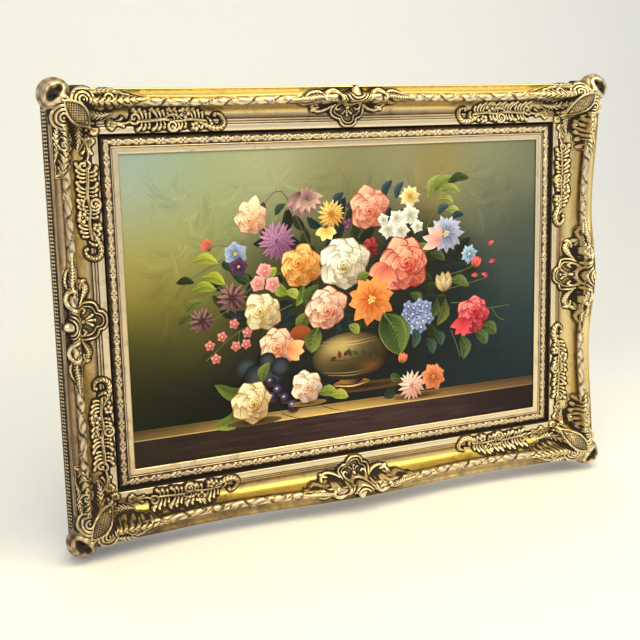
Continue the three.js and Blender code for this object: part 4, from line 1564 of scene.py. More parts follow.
def daisy(p, centre, r, count, deep, pale, heart, spin=0.0, squash=1.0, wide=1.5, pointed=0.2):
    """An open flower with one row of petals round a dotted heart."""
    deep, pale, heart = hue(deep), hue(pale), hue(heart)
    first = len(p.strokes)
    for row, reach in ((0, 1.0), (1, 0.80)):
        for k in range(count):
            turn = spin + 360 * (k + 0.5 * row) / count + p.luck.uniform(-6, 6)
            a = math.radians(turn)
            size = reach * r * (0.86 + p.luck.uniform(-0.06, 0.06))
            size *= math.hypot(math.cos(a), squash * math.sin(a))
            lit = 0.5 + 0.5 * math.cos(a - LIT_FROM)
            root = (centre[0] + 0.14 * r * math.cos(a), centre[1] + 0.14 * r * math.sin(a))
            width = 2 * math.pi * r / count * 0.5 * wide
            lighter, bend = pale * (0.80 + 0.2 * lit), p.luck.uniform(-16, 16)
            p.petal(root, turn, size, width, deep, lighter, bend, 0.16, pointed)
            if r > 30:
                p.petal(root, turn, size * 0.7, width * 0.16, deep * 0.8, deep, 0, 0.0, 1.0)
    p.turn_away(first, centre, r, 0.35)
    for k in range(9 if r > 14 else 4):
        a = k * 2.4
        q = 0.15 * r * math.sqrt((k + 0.5) / 9)
        c = (centre[0] + q * math.cos(a), centre[1] + q * math.sin(a))
        p.disc(c, (r * 0.06, r * 0.06), lambda u, v: heart * (0.75 + 0.4 * v[..., None]), 2, 7)


def mum(p, centre, r, deep, pale, rows=4, count=20):
    """A full-headed flower of many narrow petals."""
    deep, pale = hue(deep), hue(pale)
    first = len(p.strokes)
    p.disc(centre, (r * 0.7, r * 0.7), even(deep * 0.7))
    for row in range(rows):
        start = 0.42 - 0.13 * row
        for k in range(count - 3 * row):
            turn = 360 * (k + 0.5 * (row % 2)) / (count - 3 * row) + p.luck.uniform(-5, 5)
            a = math.radians(turn)
            lit = 0.5 + 0.5 * math.cos(a - LIT_FROM)
            root = (centre[0] + start * r * math.cos(a), centre[1] + start * r * math.sin(a))
            size = r * (0.56 - 0.05 * row)
            tip = mix(deep, pale, 0.4 + 0.6 * lit)
            p.petal(root, turn, size, r * 0.20, deep * 0.8, tip, 0, 0.3, 0.5)
    p.turn_away(first, centre, r, 0.4)


def cluster(p, centre, radii, count, size, deep, pale, heart):
    """Small florets crowded into a head."""
    for k in range(count):
        a, q = k * GOLDEN_TURN, math.sqrt((k + 0.5) / count)
        c = (centre[0] + radii[0] * q * math.cos(a), centre[1] + radii[1] * q * math.sin(a))
        p.disc(c, (size * 0.9, size * 0.9), even(hue(deep) * 0.6), 2, 9)
        floret(p, c, size * p.luck.uniform(0.85, 1.15), deep, pale, heart)


def floret(p, c, r, deep, pale, heart):
    """A tiny five-petalled flower."""
    spin = p.luck.uniform(0, 90)
    for k in range(5):
        turn = spin + 360 * k / 5
        lit = 0.75 + 0.25 * math.cos(math.radians(turn) - ROSE_LIT_FROM)
        p.petal(c, turn, r, r * 0.86, deep, hue(pale) * lit, 0, 0.15)
    p.disc(c, (r * 0.17, r * 0.17), even(heart), 2, 7)


def leaf(p, root, tip, width, dark="2E4420", pale="9DA84A", bend=0.15, veins=3):
    """A leaf in two tones, parted by its rib, with side veins."""
    root, tip = np.asarray(root, float), np.asarray(tip, float)
    d = tip - root
    normal = np.array([-d[1], d[0]])
    middle = root + d * 0.5 + normal * bend
    size = float(np.hypot(*d))
    dark, pale = hue(dark), hue(pale) * 0.74
    n = normal / max(size, 1e-6)
    for sign, tone in ((1, pale), (-1, mix(dark, pale, 0.45))):
        off = n * sign * width * 0.25
        low, high = mix(root, middle, 0.5) + off * 0.9, mix(middle, tip, 0.5) + off * 0.8
        widths = [0.2, width * 0.22, width * 0.30, width * 0.22, 0.1]
        tones = [dark, mix(dark, tone, 0.7), tone]
        p.stroke([root, low, middle + off, high, tip], widths, tones, 0.25 * sign, 7, 3)
    widths = [width * 0.035 + 0.25, 0.3, 0.15]
    p.stroke([root, middle, tip], widths, [mix(dark, pale, 0.8), pale * 1.1], 0.0, 5, 2)
    for k in range(veins):
        t = 0.25 + 0.5 * k / max(veins - 1, 1)
        c = root + d * t + normal * bend * (1 - (2 * t - 1) ** 2)
        for sign in (-1, 1):
            end = c + d / size * width * 0.32 + n * sign * width * 0.36 * (1 - abs(2 * t - 1) * 0.5)
            p.stroke([c, end], [0.012 * width + 0.25, 0.12], [mix(dark, pale, 1.15), dark], 0.0, 3, 2)


def stem(p, points, colour="4C5A2A", width=1.1):
    """A thin stem, paler towards its tip."""
    p.stroke(points, [width, width * 0.8, width * 0.6], [colour, hue(colour) * 1.4], 0.2, 9, 2)


def bud(p, centre, r, degrees, deep, pale):
    """A closed flower: three folded petals in a green cup."""
    a = math.radians(degrees)
    root = (centre[0] - r * 0.8 * math.cos(a), centre[1] - r * 0.8 * math.sin(a))
    for off in (-26, 26, 0):
        p.petal(root, degrees + off, r * 1.9, r * 1.05, deep, pale, -off * 0.8, 0.18)
    for off in (-40, 40):
        p.petal(root, degrees + off, r * 0.8, r * 0.4, "26351A", "6E7C3A", -off, 0.1, 0.8)


def scumble(p, ends, width, change):
    """One dry stroke in the colour beneath it, lighter or darker at its heart and lost at its edges."""
    p.stroke(ends, [width * 0.25, width, width * 0.9, width * 0.25], [(0, 0, 0)] * 2, 0.0, 9, 7, 0.35)
    at, rgb, run, side = p.strokes[-1]
    fade = np.sin(np.linspace(0, np.pi, 9))[:, None] * (1 - np.linspace(-1, 1, 7)[None] ** 2)
    tone = (1 + change * fade)[..., None]
    p.strokes[-1] = (at, ground_colour(at[..., 0], at[..., 1]) * tone, run, side)


def ground_strokes(p):
    """Wide dry strokes that scumble the ground."""
    for k in range(300):
        x, z = p.luck.uniform(-385, 385), p.luck.uniform(-165, 235)
        a = math.radians(BRUSHED + p.luck.uniform(-70, 70))
        size = p.luck.uniform(22, 58)
        ends = [
            (x + q * size * math.cos(a + 0.3 * q), z + q * size * math.sin(a + 0.3 * q))
            for q in (-1, 0, 1)
        ]
        scumble(p, ends, p.luck.uniform(6, 14), p.luck.choice((-0.13, -0.08, 0.08, 0.14)))


def shelf(p):
    """The shelf's lit top edge and its dark front."""
    tones = ["6A5530", "7C6436", "A5854A", "D3B16B", "C9A35C", "A27C47", "7F6140", "6B5238"]
    for k in range(6):
        z = -241.5 + 3.1 * k
        fade = 1.0 - 0.09 * k
        line = [(-452, z - 0.6), (-200, z), (100, z), (452, z - 0.3)]
        p.stroke(line, [2.6, 2.6, 2.6], [hue(c) * fade for c in tones], 0.10, 24, 3, 0.6)
    tones = [hue("E2C987") * 0.55, "EBD08C", hue("9B7A4E") * 0.7]
    p.stroke([(-452, -243.5), (0, -242.7), (452, -243.2)], [0.8, 1.2, 0.8], tones, 0, 20, 2)
    for k in range(46):
        x, z = p.luck.uniform(-370, 370), p.luck.uniform(-290, -254)
        size = p.luck.uniform(25, 75)
        ends = [(x - size, z), (x, z + 1), (x + size, z)]
        scumble(p, ends, p.luck.uniform(3, 6), p.luck.choice((-0.3, 0.35, 0.6)))


def vase(p):
    """A squat bowl on a foot, dull brass, with a sprig painted on its belly."""
    def belly(u, v):
        glow = np.exp(-(((u + 0.30) / 0.42) ** 2 + ((v - 0.42) / 0.40) ** 2))[..., None]
        rim = np.exp(-(((u - 0.55) / 0.30) ** 2 + ((v + 0.55) / 0.25) ** 2))[..., None]
        base = between("57492B", "1D150F", np.clip(0.45 * u - 0.55 * v + 0.35, 0, 1))
        edge = ease(0.82, 1.0, np.hypot(u, v))[..., None]
        out = base + glow * hue("B9A468") * 0.85 + rim * hue("7A4E22") * 0.6
        return mix(out, hue("171009"), edge * 0.7)

    fallen_shadow(p, (40, -196), (120, 10), "1A120C", "5A4226", 26)
    p.disc((6, -186), (42, 9), lit_from_above("3A2A17", "A87A3C", 0.2), 4, 26)
    p.disc((6, -178), (27, 10), lambda u, v: between("2A1C10", "8A6534", np.clip(0.5 - u, 0, 1)), 4, 22)
    p.stroke([(-32, -187), (6, -192), (44, -187)], [1, 1.6, 1], ["D8AE62", "F0D08A", "8E6230"], 0, 8, 2)
    p.disc((6, -128), (86, 50), belly, 10, 44)
    for k, z in enumerate((-102, -96, -160, -166)):
        w = 86 * math.sqrt(max(1 - ((z + 128) / 50) ** 2, 0)) - 3
        line = [(6 - w, z + 3), (6, z - 3), (6 + w, z + 3)]
        glint = hue("C8B070") * (1 if k < 2 else 0.5)
        p.stroke(line, [0.5, 1.0, 0.5], ["8A7443", glint, "2A1C10"], 0, 10, 2)
    for x, z, turn, deep, pale in (
        (-28, -128, 200, "3A2416", "6E3A24"), (-20, -130, 90, "4A1E18", "7C3428"),
        (-10, -126, 40, "3A1A16", "6E2A20"),
        (4, -128, 100, "1E2C1A", "3E4E2A"), (20, -126, 150, "26341C", "4E5E32"),
        (30, -124, 20, "23301C", "46562E"),
        (46, -132, -20, "20291A", "3C4828"),
    ):
        p.petal((x, z), turn, 17, 10, deep, pale, 20, 0.1, 0.6)
    stem(p, [(-40, -134), (0, -136), (52, -128)], "3A2A18", 0.8)


def shaded_leaves(p):
    """A mass of dark leaves in the heart of the bouquet."""
    for k in range(110):
        a, q = p.luck.uniform(0, 2 * math.pi), math.sqrt(p.luck.uniform(0, 1))
        x, z = -5 + 275 * q * math.cos(a), 25 + 135 * q * math.sin(a)
        turn = a + p.luck.uniform(-0.9, 0.9)
        size = p.luck.uniform(30, 52)
        tip = (x + size * math.cos(turn), z + size * math.sin(turn))
        dark, pale = (("10160F", "25301C"), ("121A1A", "27383A"), ("1A1C10", "38421F"))[k % 3]
        leaf(p, (x, z), tip, size * 0.42, dark, pale, p.luck.uniform(-0.15, 0.15), 0)


def back_foliage(p):
    """Stems and leaves that lie behind the flowers."""
    stem(p, [(-60, 60), (-110, 170), (-135, 214), (-160, 206), (-172, 186)], "5A4B4A", 1.1)
    for line in (
        [(-230, 20), (-262, 40), (-300, 10)], [(-120, 60), (-190, 40), (-240, 0), (-290, -30)],
        [(-240, 110), (-265, 118), (-286, 112)], [(230, 20), (280, 30), (312, 48)],
        [(230, -10), (290, 0), (330, 8)],
        [(240, -40), (270, -44), (300, -62)], [(300, -62), (340, -60), (386, -58)],
        [(340, -60), (356, -82), (372, -90)],
        [(180, 120), (210, 170), (250, 214), (262, 226)], [(-120, -10), (-230, -52), (-300, -104)],
        [(-230, -52), (-236, -84)],
        [(240, -100), (252, -130), (262, -160)], [(-260, 90), (-330, 52), (-352, 20)],
    ):
        stem(p, line, "56602F", 1.0)
    for root, tip, w, dark, pale in (
        ((-172, 196), (-186, 172), 13, "2A2A2C", "5A5A52"),
        ((-150, 168), (-128, 190), 13, "20302C", "4A5A4A"),
        ((-26, 178), (-4, 206), 16, "16242A", "3E5560"), ((0, 180), (22, 172), 14, "1E2C38", "4A5E74"),
        ((84, 188), (104, 226), 16, "16242E", "3C5666"),
        ((112, 186), (130, 222), 14, "1A2A34", "4A6670"),
        ((186, 186), (216, 232), 19, "5E7030", "BCC270"),
        ((196, 196), (250, 226), 18, "3C5020", "A6B45A"),
        ((214, 200), (262, 194), 18, "4E6226", "B4BC62"),
        ((232, 214), (284, 222), 18, "20301C", "4A5A38"),
        ((216, 182), (246, 170), 15, "4E6228", "C0C46C"),
        ((228, 158), (262, 150), 15, "566A2A", "C8CC74"),
        ((208, 150), (236, 168), 15, "1E2E34", "4E6670"),
        ((240, 140), (272, 146), 14, "16262C", "3A545E"),
        ((-318, 92), (-268, 84), 20, "6E7A22", "C6CC4E"),
        ((-300, 60), (-256, 42), 21, "66741F", "BCC648"),
        ((-322, 36), (-274, 34), 20, "5A6A20", "B4BE4A"),
        ((-352, 52), (-316, 50), 14, "141C12", "36442A"),
        ((-262, 84), (-236, 66), 22, "16281A", "3E5638"),
        ((-240, 58), (-206, 42), 18, "18281A", "405A34"),
        ((-338, -4), (-300, 14), 16, "3A4A20", "7E8A40"),
        ((-352, -30), (-318, -10), 12, "2A3618", "66702E"),
        ((150, 66), (196, 84), 22, "26351C", "7C8444"), ((190, 70), (226, 52), 18, "1E2C1A", "5E6E3E"),
        ((236, 10), (284, -8), 20, "2E3E22", "7E8C50"),
        ((226, -30), (206, -86), 22, "2C3A1C", "7A7E3E"),
        ((206, -28), (190, -70), 18, "22301C", "5C6A38"),
        ((142, -10), (170, -36), 18, "26361E", "66763E"),
        ((-172, 40), (-150, 66), 20, "5E7222", "C2CC5A"),
        ((-130, 10), (-152, 36), 22, "4E6420", "B0C04A"),
        ((-132, 18), (-104, 0), 18, "6E8030", "D0D26A"),
        ((-96, 28), (-112, -14), 18, "3A4E1E", "8E9E42"),
        ((-92, -22), (-62, 26), 24, "2A3A1C", "5E7038"),
        ((-104, -70), (-84, -28), 26, "30401E", "7E8A44"),
    ):
        leaf(p, root, tip, w, dark, pale)


def flowers(p):
    """The bouquet, from its outer sprays to the blooms in front."""
    nodding = ((-91, 189, "8A6670"), (-96, 196, "B58E8C"), (-84, 192, "D6AEA2"))
    for k, (x, z, pale) in enumerate(nodding):
        for j in range(6):
            turn = -150 + 24 * j + 8 * k
            p.petal((x, z + 14), turn, 46 - 5 * k, 17, "5A3C44", pale, 14, 0.2, 0.3)
    for k in range(4):
        p.petal((-86, 196), 20 + 28 * k, 26, 15, "6A4A50", "B08A86", 10, 0.2, 0.3)
    rose(p, (-199, 166), 34, "D98A5E", "F3C79A", "FCE9C8", 20, (-0.3, -0.3))
    p.petal((-196, 176), 78, 34, 24, "F2BE8E", "FDF0CE", 0, 0.1)
    mum(p, (-148, 118), 40, "5E2A55", "C48CB6", 5, 22)
    mum(p, (-32, 164), 31, "C98A2E", "FBE08A", 3, 17)
    for turn in (200, 250, 300, 340):
        p.petal((-44, 134), turn, 24, 18, "D9A23C", "FFE79A", 0, 0.1)
    rose(p, (51, 172), 46, "C4553F", "EE9A7E", "FCC8AC", 60, (0.0, -0.3))
    cluster(p, (2, 142), (8, 8), 4, 7, "4A2148", "8C4A86", "E8C860")
    daisy(p, (144, 190), 25, 9, "C9A04A", "F7EBB0", "D69A30", 15, 0.9, 1.4, 0.3)
    for x, z, r in (
        (144, 152, 24), (93, 126, 21), (121, 122, 22), (112, 148, 18), (160, 128, 16), (82, 146, 14),
    ):
        daisy(p, (x, z), r, 5, "A9B0A4", "FDFCF2", "C8C26A", 18 + x, 1.0, 1.15, 0.4)
    daisy(p, (228, 108), 44, 11, "6A74A0", "C3CCE6", "E6D8A8", 4, 0.9, 1.5, 0.4)
    for turn in (95, 128, 160, 195):
        p.petal((212, 92), turn, 42, 20, "D77F7C", "F9C9BE", 8, 0.15, 0.2)
    daisy(p, (284, 61), 21, 7, "4A78A6", "AFD0E8", "E8E2B0", 12, 1.1, 1.3, 0.5)
    rose(p, (52, 92), 20, "4A1218", "8C2A30", "B64A4C", 10)
    bud(p, (-289, 118), 13, 120, "8E3B2A", "D9705A")
    daisy(p, (-234, 99), 25, 6, "54689A", "AEBCDC", "E8C84E", 30, 1.0, 1.5, 0.0)
    daisy(p, (-228, 74), 19, 5, "2B1530", "5E3862", "E6C24C", 10, 1.0, 1.4, 0.0)
    for x, z in ((-176, 62), (-190, 38), (-160, 34)):
        daisy(p, (x, z), 17, 5, "C4606A", "F6B4B0", "F4DE9A", x, 1.0, 1.35, 0.0)
    mum(p, (-243, 14), 33, "4E3038", "A88078", 3, 13)
    mum(p, (-305, -25), 28, "4A2E32", "A07C78", 3, 12)
    for x, z in (
        (-241, -37), (-266, -60), (-291, -75), (-239, -81), (-215, -57), (-218, -79), (-280, -102),
    ):
        floret(p, (x, z), 11, "A83A44", "EE9A94", "F2DC8C")
    for x, z, turn in ((313, 50, 200), (349, 44, 190), (306, 14, 170), (330, 78, 20), (330, 10, 150)):
        p.petal((x, z), turn, 17, 10, "9E2630", "E8646A", 20, 0.2, 0.4)
    bud(p, (300, 42), 13, 60, "9E2830", "E86A6C")
    bud(p, (223, 4), 22, 100, "4E3A22", "C4A87A")
    for turn in (60, 90, 120):
        p.petal((222, -14), turn, 34, 13, "6A4E30", "E0C9A0", 0, 0.2, 0.6)
    rose(p, (294, -70), 42, "8E1424", "D93A4A", "F58C8C", 40, (0.1, 0.3))
    for turn in (205, 235, 262):
        p.petal((276, -78), turn, 42, 24, "A81C2E", "E85560", -16, 0.2, 0.3)
    cluster(p, (156, -62), (34, 32), 17, 12.5, "3E4F94", "A9B8E6", "F0ECC4")
    rose(p, (129, 52), 58, "B8342F", "EC7B66", "FBBB9E", 15, (0.2, 0.0))
    for turn in (185, 215, 245):
        p.petal((94, 46), turn, 48, 36, "D0563E", "F7A58A", 20, 0.2)
    rose(p, (-101, 66), 45, "C06A18", "F0A648", "FCD48C", 30, (-0.2, 0.2))
    rose(p, (-6, 64), 56, "A89A6C", "F0E8CC", "FFFDF2", 5, (-0.1, -0.2))
    p.disc((-8, 54), (7, 6), lit_from_above("8E7A3A", "E2CC7C", 0.0), 2, 9)
    leaf(p, (22, 20), (48, 40), 20, "3A4C22", "8E9C4C")
    rose(p, (-48, -24), 46, "C05A40", "F2B491", "FDE6CF", 70, (0.1, -0.3))
    rose(p, (-182, -18), 40, "B58A34", "F1DFA0", "FDF6D8", 25, (-0.3, 0.0))
    daisy(p, (52, -16), 53, 10, "C4591C", "FBA45A", "F6D06A", 8, 1.0, 1.7, 0.1)
    p.disc((-104, -78), (26, 26), lit_from_above("4A1E10", "9A4A26", 0.5), 4, 20)


def lost_bloom(p, centre, r):
    """A soft blue-grey bloom that melts into the ground behind it."""
    tone = ground_colour(*centre)
    heart = mix(hue("5A6478"), tone, 0.62)

    def melting(u, v):
        return between(heart, tone, ease(0.2, 1.0, np.hypot(u, v)))

    p.disc(centre, (r, r * 0.9), melting, 6, 24)


def grape(p, x, z, r):
    """A dark grape with a soft bloom, warm light from below and a small highlight."""
    def skin(u, v):
        bloom = np.exp(-(((u + 0.3) ** 2 + (v - 0.35) ** 2) / 0.2))
        below = np.clip(-v - 0.3, 0, 1)[..., None]
        return between("1B1426", "6A5A80", bloom) + hue("8A4A3C") * 0.4 * below

    p.disc((x, z), (r, r), skin, 6, 18)
    p.disc((x - r * 0.3, z + r * 0.35), (r * 0.17, r * 0.14), even("D8DCEC"), 2, 8)


def fallen_shadow(p, centre, radii, dark, pale, spokes=22):
    p.disc(centre, radii, lambda u, v: between(dark, pale, np.hypot(u, v)), 4, spokes)


def front_of_vase(p):
    """Leaves that hang over the bowl, and what lies on the shelf."""
    leaf(p, (78, -46), (118, -140), 62, "16260F", "6C8440", 0.10, 6)
    for one, two in (((118, -62), (131, -100)), ((68, -84), (88, -122))):
        edge = [(78, -46), one, two, (118, -140)]
        p.stroke(edge, [0.4, 0.9, 0.4], ["4E5A2A", "9A9A58", "6E7440"], 0.2, 10, 2)
    leaf(p, (-66, -62), (-82, -112), 34, "24360F", "8C9A48", -0.1, 4)
    leaf(p, (2, -64), (24, -84), 18, "566A26", "B8BE58")
    rose(p, (-152, -92), 40, "C25C3A", "F3B48C", "FCE2C6", 110, (-0.2, -0.1))
    for turn in (-60, -25, 10):
        p.petal((-130, -96), turn, 34, 24, "D6763E", "F9BE8A", 20, 0.15)
    bud(p, (122, -147), 12, 70, "A2402A", "E88460")
    for root, tip in (((152, -86), (150, -128)), ((204, -96), (216, -130)), ((182, -110), (196, -146))):
        leaf(p, root, tip, 20, "1A2A24", "4E6A58")
    for root, tip in (
        ((264, -112), (270, -166)), ((300, -108), (328, -138)), ((316, -96), (352, -118)),
    ):
        leaf(p, root, tip, 26, "22341E", "6E8048")
    for x, z, r in (
        (-218, -128, 26), (-196, -148, 30), (-168, -150, 24), (-150, -132, 22), (-176, -116, 18),
    ):
        lost_bloom(p, (x, z), r)
    for x, z, r in (
        (-170, -160, 11), (-155, -180, 13), (-141, -198, 12), (-124, -216, 14), (-168, -192, 11),
        (-184, -176, 10),
    ):
        grape(p, x, z, r)
    leaf(p, (-216, -176), (-286, -152), 24, "2A3A1A", "78883A")
    leaf(p, (-226, -206), (-292, -240), 28, "36481C", "9AA648")
    leaf(p, (-190, -160), (-172, -120), 20, "3A4A22", "8A9444")
    fallen_shadow(p, (-206, -238), (58, 8), "1E150E", "5E4A2A", 22)
    rose(p, (-212, -198), 42, "A4722A", "EBD18A", "FCF0C4", 15, (0.2, -0.2))
    leaf(p, (-70, -196), (-24, -206), 22, "4A5E22", "AEB456")
    leaf(p, (-40, -206), (-2, -214), 20, "6A7A2A", "D0CC62")
    fallen_shadow(p, (-92, -214), (40, 6), "2A1C10", "8E7040", 20)
    rose(p, (-95, -180), 35, "C98A5A", "F6DFBE", "FFF6E4", 45, (0.1, -0.1))
    leaf(p, (104, -206), (78, -226), 22, "141E18", "3C4A3A")
    leaf(p, (118, -190), (96, -178), 18, "26341C", "62703A")
    fallen_shadow(p, (160, -232), (58, 7), "1E140C", "6E5430", 22)
    mum(p, (145, -208), 34, "D98A74", "FDEBDC", 4, 17)
    daisy(p, (196, -196), 29, 8, "A8401E", "F4996A", "E0A050", 20, 1.1, 1.7, 0.0)
    for x0, x1, z in ((-150, -96, -246), (-60, 4, -244), (-20, -60, -262)):
        line = [(x0, z + 18), ((x0 + x1) / 2, z + 6), (x1, z)]
        p.stroke(line, [0.9, 0.6, 0.2], ["1E140E"] * 2, 0, 6, 2)


def flower_piece():
    """All the strokes, from the ground forward."""
    p = Painting(5)
    for lay in (ground_strokes, shaded_leaves, back_foliage, shelf, vase, flowers, front_of_vase):
        lay(p)
    return p


def canvas_cloth(sizes, colours):
    """The canvas: one cloth over the bars, its edges turned back, oil ground on its face."""
    half_w, half_h = CANVAS_W / 2, CANVAS_H / 2
    nx, nz = CANVAS_CELLS
    xs = np.concatenate([[-half_w], np.linspace(-half_w, half_w, nx), [half_w]])
    zs = np.concatenate([[-half_h], np.linspace(-half_h, half_h, nz), [half_h]])
    ring_x = np.zeros(nx + 2, bool)
    ring_z = np.zeros(nz + 2, bool)
    ring_x[[0, -1]] = ring_z[[0, -1]] = True
    back = CANVAS_FRONT - CANVAS_DEPTH + 0.2
    folded = ring_x[:, None] | ring_z[None]
    outer_f = np.where(folded, back, CANVAS_FRONT)
    inner_f = np.where(folded, back, CANVAS_FRONT - CLOTH)
    shrink_x, shrink_z = 1 - CLOTH / half_w, 1 - CLOTH / half_h
    grid_x, grid_z = np.meshgrid(xs, zs, indexing="ij")
    outer = np.stack([grid_x, -outer_f, grid_z + PICTURE_Z], -1) / 1000
    inner = np.stack([grid_x * shrink_x, -inner_f, grid_z * shrink_z + PICTURE_Z], -1) / 1000
    rows, columns = grid_x.shape
    quads = grid_faces(rows, columns)
    count = rows * columns
    index = np.arange(count).reshape(rows, columns)
    loop = np.concatenate([index[:, 0], index[-1, 1:], index[-2::-1, -1], index[0, -2:0:-1]])
    rim = np.stack([loop, np.roll(loop, -1), np.roll(loop, -1) + count, loop + count], -1)
    points = np.concatenate([outer.reshape(-1, 3), inner.reshape(-1, 3)])
    faces = np.vstack([quads, quads[:, ::-1] + count, rim[:, ::-1]])
    faces = facing_out(points, faces)
    face_ring = folded[:-1, :-1] | folded[1:, 1:] | folded[1:, :-1] | folded[:-1, 1:]
    which = np.concatenate([face_ring.ravel().astype(int), np.ones(len(quads) + len(rim), int)])
    paint = ground_colour(grid_x, grid_z).reshape(-1, 3)
    paint = np.concatenate([paint, np.ones((count, 1))], 1)
    a, grain = math.radians(BRUSHED), 0.35
    along = ((grid_x * math.cos(a) + grid_z * math.sin(a)) * grain).ravel()
    across = ((grid_z * math.cos(a) - grid_x * math.sin(a)) * grain).ravel()
    marks = {"paint": np.vstack([paint, paint])}
    marks |= {"along": np.tile(along, 2), "across": np.tile(across, 2)}
    skins = [oil_material("Oil ground", 0.07, 0.30), linen_material(colours, sizes)]
    cloth = make_mesh("canvas_cloth", points, faces, skins, marks, which, sharp=30)
    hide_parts("canvas")
    return cloth


# ---------------------------------------------------------------- operators


def settings(context):
    return context.scene.picture_sizes, context.scene.picture_colours


class MakeRails(bpy.types.Operator):
    """Make the four swept rails with their wrapped ribbon and rows of pearls"""

    bl_idname = "picture.make_rails"
    bl_label = "Rails"

    def execute(self, context):
        sizes, colours = settings(context)
        gilt = gilt_material("Gilded moulding", colours)
        backs = wood_material("Toned back", colours.toned_wood, (1.0, 1.0, 1.0))
        pearls = gilt_material("Gilded pearls", colours, 0.1)
        for side in SIDES:
            rail_mesh(side, sizes, [gilt, backs])
            pearl_strip(side, sizes, pearls)
        return {"FINISHED"}


class MakeSlips(bpy.types.Operator):
    """Make the four lengths of the inner slip with their leaf band"""

    bl_idname = "picture.make_slips"
    bl_label = "Slips"

    def execute(self, context):
        sizes, colours = settings(context)
        gilt = gilt_material("Gilded slip", colours, 0.3)
        backs = wood_material("Toned slip back", colours.toned_wood, (1.0, 1.0, 1.0))
        for side in SIDES:
            slip_mesh(side, sizes, [gilt, backs])
        return {"FINISHED"}


class MakeCorners(bpy.types.Operator):
    """Model the four corner castings"""

    bl_idname = "picture.make_corners"
    bl_label = "Corner castings"

    def execute(self, context):
        sizes, colours = settings(context)
        gilt = gilt_material("Gilded corner casting", colours, 0.25)
        for name in ("tl", "tr", "bl", "br"):
            corner(name, sizes.corner_pitch * 1000, gilt)
        return {"FINISHED"}


class MakeCartouches(bpy.types.Operator):
    """Model the casting at the middle of each side"""

    bl_idname = "picture.make_cartouches"
    bl_label = "Centre castings"

    def execute(self, context):
        sizes, colours = settings(context)
        gilt = gilt_material("Gilded centre casting", colours, 0.25)
        for side in SIDES:
            cartouche(side, sizes.cartouche_pitch * 1000, gilt)
        return {"FINISHED"}


class MakeFoliage(bpy.types.Operator):
    """Model the eight leaf runs beside the corners"""

    bl_idname = "picture.make_foliage"
    bl_label = "Leaf runs"

    def execute(self, context):
        sizes, colours = settings(context)
        gilt = gilt_material("Gilded leaf run", colours, 0.25)
        pitch = sizes.foliage_pitch * 1000
        for name, side, sign in (
            ("top_left", "top", -1), ("top_right", "top", 1), ("bottom_left", "bottom", 1),
            ("bottom_right", "bottom", -1), ("left_upper", "left", 1), ("left_lower", "left", -1),
            ("right_upper", "right", -1), ("right_lower", "right", 1),
        ):
            foliage(name, side, sign, pitch, gilt)
        return {"FINISHED"}


class MakeCanvas(bpy.types.Operator):
    """Stretch the canvas over its bars and paint the flower piece on it"""

    bl_idname = "picture.make_canvas"
    bl_label = "Painted canvas"

    def execute(self, context):
        sizes, colours = settings(context)
        cloth = canvas_cloth(sizes, colours)
        points, faces, marks = flower_piece().arrays(CANVAS_FRONT + PAINT_LIFT, PAINT_STEP)
        oil = oil_material("Oil paint", 0.16, 0.55)
        paint = make_mesh("oil_paint", points, faces, [oil], marks, sharp=0)
        return {"FINISHED"}


class FinishBars(bpy.types.Operator):
    """Give the stretcher bars their bare pine"""

    bl_idname = "picture.finish_bars"
    bl_label = "Stretcher bars"

    def execute(self, context):
        colours = context.scene.picture_colours
        flat = wood_material("Pine across", colours.raw_wood, (0.12, 1.0, 1.0))
        upright = wood_material("Pine upright", colours.raw_wood, (1.0, 1.0, 0.12))
        for side, skin in zip(SIDES, (flat, flat, upright, upright)):
            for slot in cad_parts["bar_" + side].material_slots:
                slot.material = skin
        return {"FINISHED"}


class SetStage(bpy.types.Operator):
    """Place the camera, the pale floor and the lamps"""

    bl_idname = "picture.set_stage"
    bl_label = "Stage"

    def execute(self, context):
        stage = context.scene.picture_stage
        set_camera(context, stage)
        set_floor(stage)
        set_lamps(context, stage)
        return {"FINISHED"}


def set_camera(context, stage):
    """The camera, as the stage settings place it."""
    view = bpy.data.cameras.new("Camera")
    view.lens = stage.lens
    view.shift_x, view.shift_y = stage.across, stage.up
    made = bpy.data.objects.new("Camera", view)
    made.location = stage.place
    made.rotation_euler = stage.turn
    context.scene.collection.objects.link(made)
    context.scene.camera = made


def set_floor(stage):
    """A pale sweep of paper: flat under the frame, curving up behind it."""
    low = CAD_BOX[0][2] - stage.floor_drop
    near, start, bend, tall, steps = -6.0, 0.9, 1.1, 5.0, 12
    profile = [(near, low), (start, low)]
    for k in range(1, steps + 1):
        a = math.radians(90 * k / steps)
        profile.append((start + bend * math.sin(a), low + bend * (1 - math.cos(a))))
    profile.append((start + bend, low + tall))
    points = np.array([[(x, y, z) for x in (-7.0, 0.0, 7.0)] for y, z in profile])
    mesh = bpy.data.meshes.new("paper_sweep")
    mesh.from_pydata(points.reshape(-1, 3).tolist(), [], grid_faces(len(profile), 3).tolist())
    mesh.polygons.foreach_set("use_smooth", np.ones(len(mesh.polygons), bool))
    sweep = bpy.data.objects.new("paper_sweep", mesh)
    bpy.context.scene.collection.objects.link(sweep)
    material, n, shader = new_material("Pale paper")
    shade = n.remap(n.noise(60.0, 4.0), 0.3, 0.7)
    n.feed(shader["Base Color"], n.blend(shade, (0.90, 0.93, 0.98, 1.0), (0.93, 0.96, 1.0, 1.0)))
    n.feed(shader["Roughness"], 0.9)
    mesh.materials.append(material)


def lamp(context, name, place, aim, size, power, colour):
    """A soft rectangular lamp that faces a point."""
    light = bpy.data.lights.new(name, "AREA")
    light.shape = "RECTANGLE"
    light.size, light.size_y = size
    light.energy = power
    light.color = colour
    made = bpy.data.objects.new(name, light)
    made.location = place
    made.rotation_euler = (Vector(aim) - Vector(place)).to_track_quat("-Z", "Y").to_euler()
    context.scene.collection.objects.link(made)


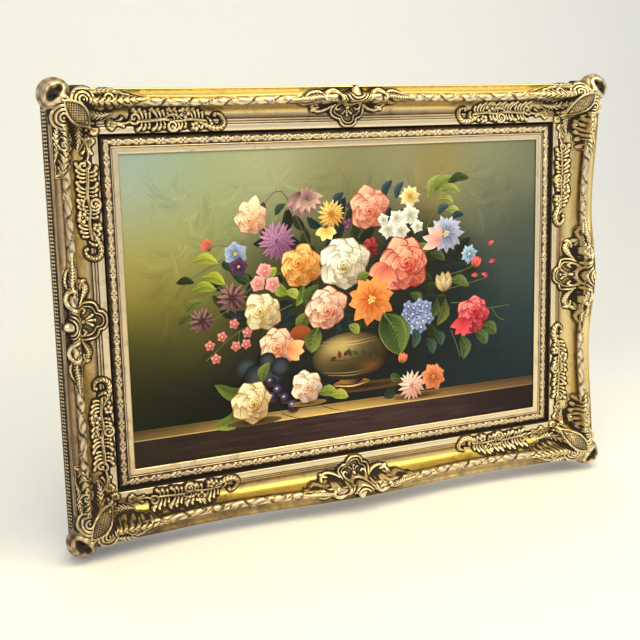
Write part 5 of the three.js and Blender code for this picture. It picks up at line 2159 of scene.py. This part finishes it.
def set_lamps(context, stage):
    """Three soft lamps and an evenly lit room."""
    overhead, front = stage.overhead, stage.window
    for name, place, aim, size, power, colour in (
        ("Overhead lamp", (0.1, -0.95, 1.3), (0.0, -0.1, -0.45), (2.6, 1.5), overhead, stage.warm),
        ("Front lamp", (-0.9, -2.7, 1.0), (0.0, 0.0, -0.4), (2.0, 1.6), front, (1.0, 0.98, 0.95)),
        ("Side lamp", (2.4, -1.6, 0.5), (0.2, 0.0, -0.4), (1.2, 2.0), front * 0.4, (1.0, 0.95, 0.88)),
    ):
        lamp(context, name, place, aim, size, power, colour)
    world = bpy.data.worlds.new("Room")
    world.use_nodes = True
    room = world.node_tree.nodes["Background"].inputs
    room["Color"].default_value = (1.0, 0.985, 0.96, 1)
    room["Strength"].default_value = stage.sky
    context.scene.world = world
    context.scene.view_settings.view_transform = "Standard"


class PicturePanel(bpy.types.Panel):
    """The steps that build the picture, in order"""

    bl_idname = "VIEW3D_PT_picture"
    bl_label = "Framed picture"
    bl_space_type = "VIEW_3D"
    bl_region_type = "UI"
    bl_category = "Picture"

    def draw(self, context):
        for step in STEPS:
            self.layout.operator(step.bl_idname)


STEPS = (
    MakeRails, MakeSlips, MakeCorners, MakeCartouches, MakeFoliage, MakeCanvas, FinishBars, SetStage,
)
SETTINGS = {
    "picture_sizes": PictureSizes, "picture_colours": PictureColours, "picture_stage": PictureStage,
}


def register():
    for label, kind in SETTINGS.items():
        bpy.utils.register_class(kind)
        setattr(bpy.types.Scene, label, bpy.props.PointerProperty(type=kind))
    for kind in (*STEPS, PicturePanel):
        bpy.utils.register_class(kind)


def unregister():
    for kind in reversed((*STEPS, PicturePanel)):
        bpy.utils.unregister_class(kind)
    for label, kind in reversed(SETTINGS.items()):
        delattr(bpy.types.Scene, label)
        bpy.utils.unregister_class(kind)


def main():
    """Builds the whole picture."""
    register()
    bpy.ops.picture.make_rails()
    bpy.ops.picture.make_slips()
    bpy.ops.picture.make_corners()
    bpy.ops.picture.make_cartouches()
    bpy.ops.picture.make_foliage()
    bpy.ops.picture.make_canvas()
    bpy.ops.picture.finish_bars()
    bpy.ops.picture.set_stage()
    bpy.context.view_layer.update()


if __name__ == "__main__":
    main()
